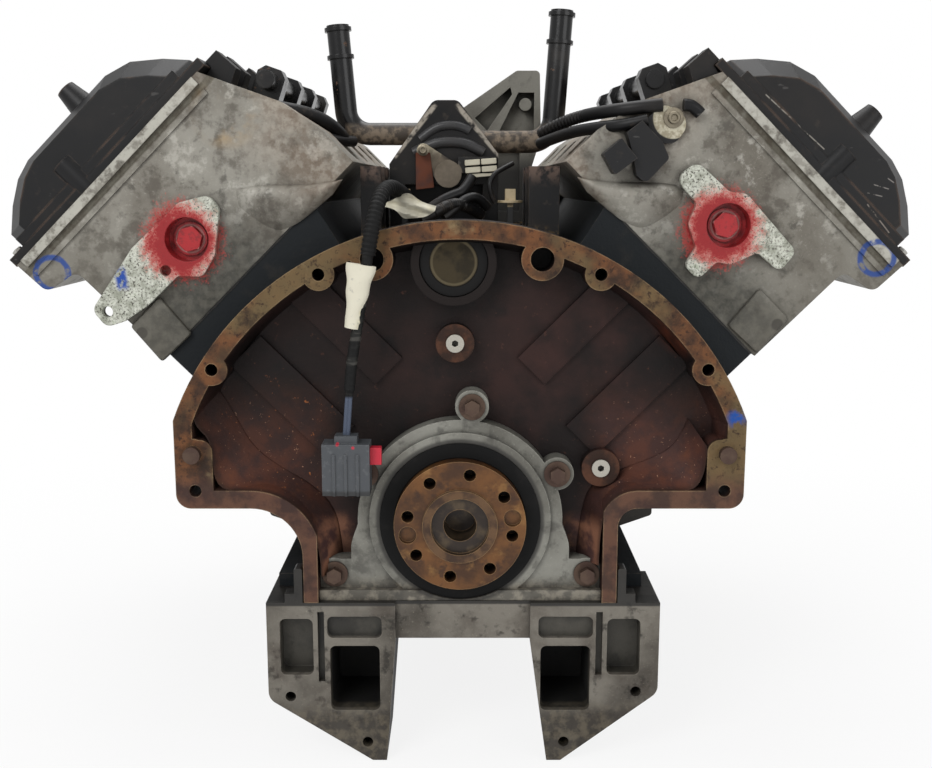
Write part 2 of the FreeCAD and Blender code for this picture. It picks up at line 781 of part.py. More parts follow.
def sprocket(x, z, teeth, radius, y):
    """Chain wheel with pointed teeth, one row wide."""
    points = []
    for k in range(teeth * 2):
        turn = math.pi * k / teeth
        reach = radius if k % 2 == 0 else radius - tooth_height
        points.append((x + reach * math.cos(turn), z + reach * math.sin(turn)))
    return prism(points, y, y + sprocket_width)


def piston_rest(side, k):
    """Height of the piston pin along its cylinder when the crank stands at rest."""
    turn = math.radians(crank_phases[k]) - side * half_bank
    across = throw * math.sin(turn)
    return throw * math.cos(turn) + math.sqrt(rod_length * rod_length - across * across)


def make_piston(side, k):
    """Piston with a bowl in its crown, slipper skirts and its hollow pin."""
    y = bore_centres(side)[k]
    pin = piston_rest(side, k)
    radius = bore_radius - piston_clearance
    crown_top = pin + compression_height
    body = Part.makeCylinder(radius, compression_height + piston_skirt_drop,
                             Vector(0, y, pin - piston_skirt_drop))
    inside = Part.makeCylinder(radius - piston_wall, compression_height + piston_skirt_drop - piston_crown,
                               Vector(0, y, pin - piston_skirt_drop))
    inside = inside.cut([box(-radius, radius, y + 16.0, y + radius, pin - 16.0, crown_top),
                         box(-radius, radius, y - radius, y - 16.0, pin - 16.0, crown_top)])
    bowl = Part.makeCone(bowl_radius - 5.0, bowl_radius, bowl_depth, Vector(0, y, crown_top - bowl_depth))
    relief = [box(-radius, radius, y + 30.0, y + radius, pin - piston_skirt_drop, pin + 22.0),
              box(-radius, radius, y - radius, y - 30.0, pin - piston_skirt_drop, pin + 22.0)]
    pin_hole = rod_y(0.0, pin, wrist_pin_radius, y - radius, y + radius)
    solid = body.cut([inside, bowl, pin_hole] + relief)
    pin_bar = rod_y(0.0, pin, wrist_pin_radius, y - 28.0, y + 28.0)
    return [bank(solid, side), bank(pin_bar, side)]


def make_carrier():
    """Aluminium ring that holds the rear crank seal, with lugs and a straight base."""
    front = block_wall_y
    base_top = rail_z + carrier_base_height
    shapes = [rod_y(0.0, 0.0, carrier_radius, carrier_rear_y, front),
              prism(mirrored([(carrier_half_width, rail_z), (carrier_half_width, -20.0, 30.0), (70.0, 40.0)]),
                    carrier_rear_y, front),
              rod_y(0.0, 0.0, carrier_ring_radius, carrier_ring_rear_y, carrier_rear_y),
              prism(mirrored([(carrier_base_half_width, rail_z), (carrier_base_half_width, base_top, 10.0)]),
                    carrier_rear_y, front),
              box(-carrier_base_half_width, carrier_base_half_width, carrier_base_rear_y, carrier_rear_y,
                  rail_z, rail_z + carrier_ledge_height)]
    for x, z in carrier_lug_places + carrier_base_bolt_places:
        shapes.append(rod_y(x, z, carrier_lug_radius, carrier_rear_y, front))
    limit = box(-carrier_base_half_width, carrier_base_half_width, 0.0, front, rail_z, 200.0)
    return both(shapes).common(limit).cut(rod_y(0.0, 0.0, seal_outer_radius, 0.0, front + 1.0))


def make_rear_seal():
    """Rubber lip seal between the carrier and the crank flange."""
    ring = rod_y(0.0, 0.0, seal_outer_radius, seal_rear_y, seal_front_y)
    return ring.cut(rod_y(0.0, 0.0, flange_radius + seal_clearance, seal_rear_y - 1.0, seal_front_y + 1.0))


def make_carrier_bolts():
    """Washers and hexagon heads on the seal carrier."""
    bolts = []
    for x, z in carrier_lug_places + carrier_base_bolt_places:
        washer_rear = carrier_rear_y - carrier_washer_thickness
        washer = rod_y(x, z, carrier_washer_radius, washer_rear, carrier_rear_y)
        head = hex_y(x, z, carrier_bolt_size, washer_rear - carrier_bolt_head, washer_rear)
        bolts.append(washer.fuse(head))
    return bolts


def make_block_plugs():
    """Core plug of the water jacket and the two socket plugs of the oil galleries."""
    x, z = core_plug_place
    floor = core_boss_rear_y + core_ring_depth
    core = rod_y(x, z, core_ring_radius - 0.5, floor - 5.0, floor)
    core = core.cut(rod_y(x, z, core_plug_radius, floor - 6.0, floor - 2.5))
    plugs = [core]
    for x, z in socket_plug_places:
        plug = rod_y(x, z, socket_plug_radius, socket_boss_rear_y - 2.0, socket_boss_rear_y + 8.0)
        plugs.append(plug.cut(hex_y(x, z, socket_plug_key, socket_boss_rear_y - 3.0,
                                    socket_boss_rear_y + 3.0)))
    return plugs


def make_dowels():
    """Locating dowels that line the gearbox up with the bell."""
    dowels = []
    for side in sides:
        x = side * dowel_place[0]
        free_end = rod_y(x, dowel_place[1], dowel_radius, dowel_rear_y, 0.0)
        dowels.append(free_end.fuse(rod_y(x, dowel_place[1], dowel_root_radius, 0.0, dowel_root_length)))
    return dowels


def horn_outline(side):
    """Rear outline of one sump horn, from the joint down to its foot."""
    top = horn_inner_top[side]
    bottom = horn_inner_bottom[side]
    outer = horn_outer[side]
    corners = [(top, sump_joint_z), (top, sump_web_bottom_z), (bottom, foot_z),
               (bottom + horn_foot_width, foot_z), (outer, horn_corner_z[side], 12.0), (outer, sump_joint_z)]
    return [(side * corner[0],) + tuple(corner[1:]) for corner in corners]


def horn_hole_places(side):
    """Gearbox bolt holes beside the sloping lower edge of a horn."""
    foot_x = horn_inner_bottom[side] + horn_foot_width
    corner_x = horn_outer[side]
    corner_z = horn_corner_z[side]
    length = math.hypot(corner_x - foot_x, corner_z - foot_z)
    along = ((corner_x - foot_x) / length, (corner_z - foot_z) / length)
    across = (-along[1], along[0])
    places = []
    for share in (0.12, 0.86):
        x = foot_x + along[0] * length * share + across[0] * (horn_hole_inset + 2.0)
        z = foot_z + along[1] * length * share + across[1] * (horn_hole_inset + 2.0)
        places.append((side * x, z))
    return places


def make_horn(side):
    """One horn of the sump before its pockets: bolt bosses on its edge and an L-shaped lug on its joint."""
    shapes = [prism(horn_outline(side), 0.0, horn_length)]
    for x, z in horn_hole_places(side):
        shapes.append(rod_y(x, z, horn_boss_radius, 0.0, horn_boss_depth))
    inner, middle, outer = [side * x for x in horn_lug_x]
    lug = [(inner, sump_joint_z), (outer, sump_joint_z), (outer, horn_lug_z[0]), (middle, horn_lug_z[0]),
           (middle, horn_lug_z[1], 2.0), (inner, horn_lug_z[1], 2.0)]
    shapes.append(prism(lug, 0.0, horn_lug_depth))
    return both(shapes)


def make_sump():
    """Cast upper sump: tray with its joint flange, and against it the two horns that meet the gearbox."""
    front = block_front_y
    inner = sump_side_half_width - sump_wall
    shell = box(-sump_side_half_width, sump_side_half_width, sump_rear_y, front, sump_floor_z, sump_joint_z)
    shapes = [shell, box(-sump_flange_half_width, sump_flange_half_width, sump_rear_y, front,
                         sump_joint_z - sump_flange_thickness, sump_joint_z)]
    horns = [make_horn(side) for side in sides]
    below_web = box(-sump_side_half_width, sump_side_half_width, -1.0, block_body_y, foot_z,
                    sump_web_bottom_z)
    tray = both(shapes).cut(horns + [below_web])
    tools = [box(-inner, inner, block_body_y + sump_wall, front - sump_wall, sump_floor_z + sump_wall,
                 sump_joint_z + 1.0),
             box(-pan_half_width + pan_wall, pan_half_width - pan_wall,
                 pan_rear_y + pan_wall + pan_flange_lip,
                 front - sump_wall - pan_flange_lip, sump_floor_z - 1.0, sump_floor_z + sump_wall + 1.0)]
    for side in sides:
        for pocket, depth in ((horn_window, horn_window_depth), (horn_panel, horn_panel_depth),
                              (horn_side_panel, horn_panel_depth * 3.0)):
            xs, zs = pocket
            corners = [(side * xs[0], zs[0], 5.0), (side * xs[1], zs[0], 5.0),
                       (side * xs[1], zs[1], 5.0), (side * xs[0], zs[1], 5.0)]
            tools.append(prism(corners, -1.0, depth))
        tools.append(box(min(side * horn_groove_x[0], side * horn_groove_x[1]),
                         max(side * horn_groove_x[0], side * horn_groove_x[1]), -1.0, horn_panel_depth,
                         horn_corner_z[side] + 16.0, sump_joint_z - 8.0))
        for x, z in horn_hole_places(side):
            tools.append(rod_y(x, z, horn_hole_radius, -1.0, horn_hole_depth))
    return [solid.cut(tools) for solid in [tray] + horns]


def make_pan():
    """Deep sheet-metal oil pan under the front of the upper sump."""
    rear = pan_rear_y
    front = block_front_y
    flange = box(-pan_flange_half_width, pan_flange_half_width, rear, front,
                 sump_floor_z - pan_flange_thickness, sump_floor_z)
    top = sump_floor_z - pan_flange_thickness

    def ring(half_top, shift, z):
        return Part.makePolygon([Vector(-half_top, rear + shift, z), Vector(half_top, rear + shift, z),
                                 Vector(half_top, front - shift, z), Vector(-half_top, front - shift, z),
                                 Vector(-half_top, rear + shift, z)])
    lip = pan_flange_lip
    outer = Part.makeLoft([ring(pan_half_width, lip, top),
                           ring(pan_bottom_half_width, lip + pan_taper_y, foot_z)],
                          True, True)
    inner = Part.makeLoft([ring(pan_half_width - pan_wall, lip + pan_wall, sump_floor_z + 1.0),
                           ring(pan_bottom_half_width - pan_wall, lip + pan_taper_y + pan_wall,
                                foot_z + pan_wall)],
                          True, True)
    return flange.fuse(outer).cut([inner])


def make_drain_plug():
    """Washer and hexagon drain plug on the sloping rear wall of the pan, turned to its slope."""
    slope = math.atan2(pan_taper_y, sump_floor_z - pan_flange_thickness - foot_z)
    height = 34.0
    wall_y = pan_rear_y + pan_flange_lip + pan_taper_y - height * math.tan(slope)
    washer = rod_y(0.0, 0.0, drain_plug_size * 0.68, -2.0, 0.0)
    plug = washer.fuse(hex_y(0.0, 0.0, drain_plug_size, -12.0, -2.0))
    plug.rotate(Vector(0, 0, 0), Vector(1, 0, 0), math.degrees(slope))
    plug.translate(Vector(0.0, wall_y, foot_z + height))
    return plug


def make_sump_bolts():
    """Hexagon heads under the joint flange of the upper sump."""
    bolts = []
    corner = 9.0 / math.sqrt(3.0)
    top = sump_joint_z - sump_flange_thickness
    x = (sump_flange_half_width + sump_side_half_width) / 2.0
    for k in range(6):
        y = horn_length + 25.0 + k * 66.0
        for side in sides:
            points = [Vector(side * x + corner * math.cos(math.radians(60.0 * n)),
                             y + corner * math.sin(math.radians(60.0 * n)), top) for n in range(6)]
            face = Part.Face(Part.makePolygon(points + [points[0]]))
            bolts.append(face.extrude(Vector(0, 0, -7.0)))
    return bolts


def tube(points, bend, radius):
    """Round bar along straight runs joined by arcs of one radius."""
    path = [Vector(*point) for point in points]
    edges = []
    start = path[0]
    for k in range(1, len(path) - 1):
        back = (path[k - 1] - path[k]).normalize()
        ahead = (path[k + 1] - path[k]).normalize()
        half = back.getAngle(ahead) / 2.0
        own = bend[k - 1] if isinstance(bend, list) else bend
        run = own / math.tan(half)
        middle = (back + ahead).normalize()
        first = path[k] + back * run
        last = path[k] + ahead * run
        bulge = path[k] + middle * (own / math.sin(half) - own)
        edges.append(Part.LineSegment(start, first).toShape())
        edges.append(Part.Arc(first, bulge, last).toShape())
        start = last
    edges.append(Part.LineSegment(start, path[-1]).toShape())
    wire = Part.Wire(edges)
    ring = Part.Wire([Part.Circle(path[0], path[1] - path[0], radius).toShape()])
    return wire.makePipeShell([ring], True, False), wire


def make_pickup():
    """Oil strainer in the pan and its pipe up to the front main cap."""
    top = -cap_height
    run_z = -94.0
    y_front = main_centres()[-1] - 5.0
    y_rear = 360.0
    pipe = tube([(0, y_front, top), (0, y_front, run_z), (0, y_rear, run_z), (0, y_rear, -192.0)], 14.0,
                8.0)[0]
    bell = Part.makeCone(30.0, 12.0, 12.0, Vector(0, y_rear, -202.0))
    return pipe.fuse(bell)


def head_section():
    """Section of a cylinder head in bank axes, from the deck to the cover joint."""
    steps = [(u, cam_axis_height - drop, head_step_rounding) for u, drop in head_outer_step]
    return [(head_deck_outer, joint_height)] + steps + [
        (head_joint_outer, cover_joint), (-head_joint_inner, cover_joint),
        (-head_slope_foot[0], cam_axis_height - head_slope_foot[1]),
        (-head_inner, joint_height + head_inner_port_top), (-head_inner, joint_height)]


def bearing_places(side):
    """y of the five cam bearings of one head."""
    low = head_rear_y + cam_pocket_rear_wall + cam_bearing_width / 2.0
    high = head_front_y - cam_pocket_rear_wall - cam_bearing_width / 2.0
    between = [y + bore_pitch / 2.0 for y in bore_centres(side)[:-1]]
    return [low] + between + [high]


def raised(place):
    """A place on a head's rear face in bank axes, from one given above the head joint."""
    return (place[0], joint_height + place[1])


def make_head(side):
    """Cylinder head with cam pocket, bearing saddles, ports and the bosses of its rear face."""
    body = prism(head_section(), head_rear_y, head_front_y)
    rear = head_rear_y + cam_pocket_rear_wall
    front = head_front_y - cam_pocket_rear_wall
    pocket = prism([(-cam_pocket_inner, cam_pocket_floor), (cam_pocket_outer, cam_pocket_floor),
                    (cam_pocket_outer, cam_pocket_ledge), (cam_pocket_mouth, cam_pocket_ledge),
                    (cam_pocket_mouth, cover_joint + 1.0), (-cam_pocket_inner, cover_joint + 1.0)], rear,
                   front)
    saddles = []
    for y in bearing_places(side):
        saddles.append(box(-cam_cap_half_width, cam_cap_half_width, y - cam_bearing_width / 2.0,
                           y + cam_bearing_width / 2.0, cam_pocket_floor, cam_axis_height))
    solid = body.cut(pocket.cut(saddles))
    u, v = raised(head_recess_place[side])
    face = head_rear_y - boss_thickness
    plate = [(boss_u, joint_height + rise, radius) for boss_u, rise, radius in boss_outlines[side]]
    raised_forms = [prism(plate, face, head_rear_y)]
    for high, low, thickness in head_ribs:
        raised_forms.append(box(head_rib_reach[0], head_rib_reach[1], head_rear_y - thickness, head_rear_y,
                                cover_joint - low, cover_joint - high))
    solid = solid.fuse(raised_forms)
    tools = [rod_y(u, v, head_recess_radius, face - 1.0, head_rear_y + head_recess_depth)]
    for hole_u, hole_v in [raised(place) for place in boss_holes[side]]:
        tools.append(rod_y(hole_u, hole_v, boss_hole_radius, face - 1.0, head_rear_y))
    for offset in (-cam_axis_offset, cam_axis_offset):
        for y in bearing_places(side):
            tools.append(rod_y(offset, cam_axis_height, cam_journal_radius + running_clearance,
                               y - cam_bearing_width / 2.0 - 0.5, y + cam_bearing_width / 2.0 + 0.5))
        tools.append(rod_y(offset, cam_axis_height, cam_journal_radius + cam_wall_clearance, front - 1.0,
                           head_front_y + 1.0))
    for u, y in valve_places(side):
        tools.append(Part.makeCylinder(valve_stem_radius + running_clearance, cam_pocket_floor - joint_height,
                                       Vector(u, y, joint_height)))
        seat = revolved([(0.0, 0.0), (valve_head_radius + valve_seat_gap, 0.0),
                         (valve_head_radius + valve_seat_gap, 2.0 + valve_seat_gap),
                         (valve_stem_radius, valve_head_height + 2.0), (0.0, valve_head_height + 2.0)])
        tools.append(seat.translated(Vector(u, y, joint_height)))
    for y in bore_centres(side):
        outer_port = (head_deck_outer - port_depth, head_deck_outer + 1.0, outer_port_height)
        inner_port = (-head_inner - 1.0, -head_inner + port_depth, inner_port_height)
        for start, stop, height in (outer_port, inner_port):
            hole = box(start, stop, y - port_half_width, y + port_half_width, height - port_half_height,
                       height + port_half_height)
            hole = hole.makeChamfer(7.0, [edge for edge in hole.Edges if abs(edge.Vertexes[0].Point.x
                                                                           - edge.Vertexes[1].Point.x) > 1.0])
            tools.append(hole)
    return bank(solid.cut(tools), side)


def valve_places(side):
    """Places of the four valves of each cylinder in bank axes."""
    places = []
    for y in bore_centres(side):
        for offset in (-valve_offset, valve_offset):
            for shift in (-valve_spread, valve_spread):
                places.append((offset, y + shift))
    return places


def make_valves():
    """Closed valves with their retainers, and the springs as plain sleeves."""
    pieces = []
    bottom = joint_height + valve_seat_gap
    seat_z = valve_tip_height - valve_retainer_drop
    retainer_top = valve_tip_height - retainer_thickness
    profile = [(0.0, bottom), (valve_head_radius, bottom), (valve_head_radius, bottom + 1.5),
               (valve_stem_radius, bottom + valve_head_height), (valve_stem_radius, seat_z),
               (retainer_radius, seat_z), (retainer_radius, retainer_top), (valve_stem_radius, retainer_top),
               (valve_stem_radius, valve_tip_height), (0.0, valve_tip_height)]
    valve = revolved(profile)
    length = seat_z - cam_pocket_floor
    spring = Part.makeCylinder(retainer_radius, length, Vector(0, 0, cam_pocket_floor))
    spring = spring.cut(Part.makeCylinder(retainer_radius - 3.0, length, Vector(0, 0, cam_pocket_floor)))
    for side in sides:
        for u, y in valve_places(side):
            for piece in (valve, spring):
                placed = piece.copy()
                placed.translate(Vector(u, y, 0.0))
                pieces.append(bank(placed, side))
    return pieces


def make_head_gasket(side):
    """Sheet gasket with the four bore openings."""
    sheet = box(-deck_inner, deck_outer, block_body_y, block_front_y, deck_height, joint_height)
    holes = [Part.makeCylinder(bore_radius + 1.0, gasket_thickness + 2.0, Vector(0, y, deck_height - 1.0))
             for y in bore_centres(side)]
    return bank(sheet.cut(holes), side)


def make_cam_caps():
    """Bridges that hold both camshafts of a head down on their saddles."""
    caps = []
    for side in sides:
        for y in bearing_places(side):
            half = cam_bearing_width / 2.0
            cap = box(-cam_cap_half_width, cam_cap_half_width, y - half, y + half, cam_axis_height,
                      cam_axis_height + cam_cap_height)
            cap = cap.cut([rod_y(offset, cam_axis_height, cam_journal_radius + running_clearance,
                                 y - half - 1.0,
                                 y + half + 1.0) for offset in (-cam_axis_offset, cam_axis_offset)])
            caps.append(bank(cap, side))
    return caps


def cover_section(grow):
    """Faceted section of a cam cover in bank axes; grow scales it about the middle of its joint."""
    return [(u * grow, cover_joint + rise * grow) for u, rise in cover_outline]


def make_cam_cover(side):
    """Moulded cam cover: bevelled ends, rim, ridge and bolt post, filler knob, hollow inside."""
    rear = cover_rear_y
    front = block_front_y + timing_case_depth
    bevel = cover_chamfer_y
    height = cover_shoulder - cover_joint
    end_scale = 1.0 - cover_end_drop / height
    hollow = 1.0 - cover_wall / height
    shapes = [taper(cover_section(end_scale), rear, cover_section(1.0), rear + bevel),
              prism(cover_section(1.0), rear + bevel, front - bevel),
              taper(cover_section(1.0), front - bevel, cover_section(end_scale), front)]
    rim = box(-cover_rim_inner, cover_rim_outer, rear - 3.0, front, cover_joint,
              cover_joint + cover_rim_thickness)
    ridge = box(-cover_ridge_reach, cover_ridge_reach, rear - cover_ridge_depth, rear + cover_wall,
                cover_joint,
                cover_joint + cover_ridge_height)
    post = Part.makeCylinder(cover_post_radius, cover_post_height, Vector(cover_post_place[side],
                                                                          rear + cover_post_depth,
                                                                          cover_joint))
    knob = Part.makeCone(cover_knob_radius, cover_knob_top_radius, cover_knob_height + cover_knob_root,
                         Vector(cover_knob_place[side], cover_knob_y, cover_shoulder - cover_knob_root))
    solid = both(shapes + [rim, ridge, post, knob])
    inner = [taper(cover_section(end_scale * hollow), rear + cover_wall, cover_section(hollow), rear + bevel),
             prism(cover_section(hollow), rear + bevel, front - bevel),
             taper(cover_section(hollow), front - bevel, cover_section(end_scale * hollow),
                   front - cover_wall)]
    return bank(solid.cut(both(inner)), side)


def make_cover_bolts():
    """Hexagon bolts on the outer rim of both cam covers."""
    bolts = []
    corner = cover_bolt_size / math.sqrt(3.0)
    top = cover_joint + cover_rim_thickness
    rear = cover_rear_y + 16.0
    pitch = (block_front_y - cover_rear_y) / (cover_bolt_count - 1)
    for side in sides:
        for k in range(cover_bolt_count):
            y = rear + pitch * k
            points = [Vector(cover_rim_outer - 4.5 + corner * math.cos(math.radians(60.0 * n + 30.0)),
                             y + corner * math.sin(math.radians(60.0 * n + 30.0)), top) for n in range(6)]
            head = Part.Face(Part.makePolygon(points + [points[0]])).extrude(Vector(0, 0, cover_bolt_head))
            bolts.append(bank(head, side))
    return bolts


def make_head_plugs():
    """Hexagon plugs in the recesses of the heads' rear faces."""
    plugs = []
    for side in sides:
        u, v = raised(head_recess_place[side])
        floor = head_rear_y + head_recess_depth
        plug = rod_y(u, v, head_plug_radius + 2.0, floor - 2.0, floor)
        plug = plug.fuse(hex_y(u, v, head_plug_radius * 1.6, floor - 2.0 - head_plug_height, floor - 2.0))
        plugs.append(bank(plug, side))
    return plugs


def lobe_outline(u, v, turn, y):
    """Cam lobe: base circle and a round nose, tangent flanks."""
    nose = 5.0
    height = cam_base_radius + cam_lift - nose
    half = math.acos((cam_base_radius - nose) / height)
    direction = math.radians(turn)

    def at(radius, angle, centre_u=u, centre_v=v):
        return Vector(centre_u + radius * math.cos(angle), y, centre_v + radius * math.sin(angle))
    nose_u = u + height * math.cos(direction)
    nose_v = v + height * math.sin(direction)
    a = at(cam_base_radius, direction + half)
    b = at(cam_base_radius, direction + math.pi)
    c = at(cam_base_radius, direction - half)
    d = at(nose, direction - half, nose_u, nose_v)
    e = at(nose, direction, nose_u, nose_v)
    f = at(nose, direction + half, nose_u, nose_v)
    edges = [Part.Arc(a, b, c).toShape(), Part.LineSegment(c, d).toShape(), Part.Arc(d, e, f).toShape(),
             Part.LineSegment(f, a).toShape()]
    return Part.Wire(edges)


def make_camshaft(side, offset, lag):
    """Camshaft with two lobes a cylinder, plain shaft between them and its chain wheel."""
    axis = cam_axis_height
    sprocket_y = chain_rows[side]
    shapes = [rod_y(offset, axis, cam_journal_radius, cam_rear_y, sprocket_y + sprocket_width + 3.0)]
    for k in range(cylinders_per_bank):
        y = bore_centres(side)[k]
        turn = -90.0 + lag + crank_phases[k] / 2.0 * side + 100.0
        for shift in (-cam_lobe_spread, cam_lobe_spread):
            rear = y + shift - cam_lobe_width / 2.0
            shapes.append(Part.Face(lobe_outline(offset, axis, turn, rear)).extrude(Vector(0, cam_lobe_width,
                                                                                           0)))
    shapes.append(sprocket(offset, axis, cam_sprocket_teeth, cam_sprocket_radius, sprocket_y))
    return bank(both(shapes), side)


def belt_loop(circles, grow, y):
    """Outline of a band stretched round circles given in counter-clockwise order."""
    normals = []
    count = len(circles)
    for k in range(count):
        x0, z0, r0 = circles[k]
        x1, z1, r1 = circles[(k + 1) % count]
        length = math.hypot(x1 - x0, z1 - z0)
        normals.append(math.atan2(z1 - z0, x1 - x0) - math.acos((r0 - r1) / length))
    edges = []
    for k in range(count):
        x, z, radius = circles[k]
        reach = radius + grow
        arrive = normals[k - 1]
        leave = normals[k]
        while leave < arrive:
            leave += 2.0 * math.pi
        middle = (arrive + leave) / 2.0
        points = [Vector(x + reach * math.cos(turn), y, z + reach * math.sin(turn))
                  for turn in (arrive, middle, leave)]
        edges.append(Part.Arc(points[0], points[1], points[2]).toShape())
        x1, z1, r1 = circles[(k + 1) % count]
        stop = Vector(x1 + (r1 + grow) * math.cos(normals[k]), y, z1 + (r1 + grow) * math.sin(normals[k]))
        edges.append(Part.LineSegment(points[2], stop).toShape())
    return Part.Wire(edges)


def make_chains():
    """Side plates of the two timing chains, round the crank and both cams of a bank."""
    plates = []
    for side in sides:
        outer = bank_point(cam_axis_offset, cam_axis_height, side)
        inner = bank_point(-cam_axis_offset, cam_axis_height, side)
        wheel = cam_sprocket_radius - tooth_height / 2.0
        small = crank_sprocket_radius - tooth_height / 2.0
        circles = [(0.0, 0.0, small), (outer[0], outer[1], wheel), (inner[0], inner[1], wheel)]
        if side < 0:
            circles = [circles[0], circles[2], circles[1]]
        y = chain_rows[side]
        for rear in (y - chain_plate_gap - chain_plate_thickness, y + sprocket_width + chain_plate_gap):
            face = Part.Face(belt_loop(circles, chain_band / 2.0, rear))
            hole = Part.Face(belt_loop(circles, -chain_band / 2.0, rear))
            plates.append(face.cut(hole).extrude(Vector(0, chain_plate_thickness, 0)))
    return plates


def case_section():
    """Half section of the timing case, from the rail to the valley."""
    theta = half_bank
    foot_z = (skirt_half_width * math.cos(theta) - deck_outer) / math.sin(theta)
    return [(skirt_half_width, rail_z), (skirt_half_width, foot_z), bank_point(deck_outer, joint_height, 1),
            bank_point(deck_outer, cam_axis_height - head_outer_step[0][1], 1),
            bank_point(head_joint_outer - 1.0, cam_axis_height - head_outer_step[1][1], 1),
            bank_point(head_joint_outer - 1.0, cover_joint, 1),
            bank_point(-head_joint_inner + 1.0, cover_joint, 1),
            bank_point(-head_joint_inner + 1.0, 214.0, 1)]


def make_timing_cover():
    """Front cover over the timing chains, open towards the block and the cam covers."""
    front = block_front_y + timing_case_depth
    corners = mirrored(case_section())
    solid = prism(corners, block_front_y, front)
    ring = outline(corners, block_front_y).makeOffset2D(-timing_wall)
    hollow = Part.Face(ring).extrude(Vector(0, timing_case_depth - timing_wall, 0))
    tools = [hollow]
    for side in sides:
        mouth = box(-head_joint_inner + timing_wall + 1.0, head_joint_outer - timing_wall - 1.0,
                    block_front_y,
                    front - timing_wall, cam_pocket_ledge - 1.0, cover_joint + 1.0)
        tools.append(bank(mouth, side))
    solid = solid.cut(tools)
    shapes = [solid, rod_y(0.0, 0.0, front_seal_radius + 12.0, front - timing_wall, front + 6.0),
              rod_y(0.0, pump_height, pump_radius + 6.0, front, front + 4.0)]
    for turn in (-50.0, 0.0, 50.0):
        rib = box(-3.0, 3.0, front, front + 4.0, front_seal_radius + 8.0, front_seal_radius + 50.0)
        rib.rotate(Vector(0, 0, 0), Vector(0, 1, 0), turn)
        shapes.append(rib)
    whole = both(shapes)
    return whole.cut(rod_y(0.0, 0.0, front_seal_radius, front - timing_wall - 1.0, front + 7.0))


def make_front_seal():
    """Rubber seal round the hub of the crank damper."""
    front = block_front_y + timing_case_depth
    ring = rod_y(0.0, 0.0, front_seal_radius, front - timing_wall, front + 6.0)
    return ring.cut(rod_y(0.0, 0.0, damper_hub_radius + seal_clearance, front - 7.0, front + 7.0))


def make_front_bolts():
    """Hexagon heads round the rim of the front cover."""
    front = block_front_y + timing_case_depth
    bolts = []
    for side in sides:
        for u, v in front_bolt_places:
            x, z = bank_point(u, v, side)
            bolts.append(hex_y(x, z, 10.0, front, front + 6.0))
        for z in (-55.0, 0.0):
            bolts.append(hex_y(side * (skirt_half_width - 8.0), z, 10.0, front, front + 6.0))
    return bolts


def make_damper():
    """Crank pulley and torsional damper with its belt grooves."""
    front = damper_rear_y + damper_width
    hub_rear = block_front_y + timing_case_depth - timing_wall - 4.0
    rim = rod_y(0.0, 0.0, damper_radius, damper_rear_y, front)
    middle = (damper_rear_y + front) / 2.0
    dish = [rod_y(0.0, 0.0, damper_radius - damper_rim, damper_rear_y - 1.0, middle - damper_web / 2.0),
            rod_y(0.0, 0.0, damper_radius - damper_rim, middle + damper_web / 2.0, front + 1.0)]
    grooves = []
    pitch = 4.5
    first = middle - pitch * (damper_groove_count - 1) / 2.0
    for k in range(damper_groove_count):
        y = first + pitch * k
        profile = Part.makePolygon([Vector(damper_radius + 0.5, y - pitch / 2.0 + 0.4, 0),
                                    Vector(damper_radius - damper_groove_depth, y, 0),
                                    Vector(damper_radius + 0.5, y + pitch / 2.0 - 0.4, 0),
                                    Vector(damper_radius + 0.5, y - pitch / 2.0 + 0.4, 0)])
        grooves.append(Part.Face(profile).revolve(Vector(0, 0, 0), Vector(0, 1, 0), 360.0))
    hub = rod_y(0.0, 0.0, damper_hub_radius, hub_rear, front - 6.0)
    solid = both([rim.cut(dish + grooves), hub])
    return solid.cut(rod_y(0.0, 0.0, nose_radius, hub_rear - 1.0, front + 1.0))


def make_damper_bolt():
    """Washer and hexagon head on the crank nose."""
    washer = rod_y(0.0, 0.0, damper_hub_radius - 4.0, nose_front_y, nose_front_y + 4.0)
    return washer.fuse(hex_y(0.0, 0.0, damper_bolt_size, nose_front_y + 4.0, nose_front_y + 16.0))


def make_pump():
    """Water pump housing with its inlet stub, bolted to the front cover."""
    rear = block_front_y + timing_case_depth + 4.0
    front = rear + pump_body_length
    body = rod_y(0.0, pump_height, pump_radius, rear, front)
    nose = rod_y(0.0, pump_height, pump_shaft_radius + 8.0, front, front + 3.0)
    stub = Part.makeCylinder(14.0, pump_radius + 30.0, Vector(0.0, (rear + front) / 2.0 + 1.0, pump_height),
                             Vector(-0.8, 0, 0.6))
    stub = stub.common(box(-200.0, 200.0, rear, front, 0.0, 400.0))
    whole = both([body, nose, stub])
    bore_hole = Part.makeCylinder(10.0, 40.0, Vector(0.0, (rear + front) / 2.0 + 1.0, pump_height)
                                  + Vector(-0.8, 0, 0.6) * 36.0, Vector(-0.8, 0, 0.6))
    return whole.cut([rod_y(0.0, pump_height, pump_shaft_radius + running_clearance, front - 10.0,
                            front + 4.0),
                      bore_hole])


def make_pump_pulley():
    """Cupped water pump pulley on its shaft."""
    housing_front = block_front_y + timing_case_depth + 4.0 + pump_body_length
    rear = housing_front + pulley_gap
    front = rear + pulley_width
    rim = rod_y(0.0, pump_height, pulley_radius, rear, front)
    cup = rod_y(0.0, pump_height, pulley_radius - pulley_wall, rear - 1.0, front - pulley_wall)
    groove = rod_y(0.0, pump_height, pulley_radius + 1.0, rear + 3.0, front - 6.0)
    groove = groove.cut(rod_y(0.0, pump_height, pulley_radius - 1.5, rear + 2.0, front - 5.0))
    shaft = rod_y(0.0, pump_height, pump_shaft_radius, housing_front - 9.0, front)
    return both([rim.cut([cup, groove]), shaft])


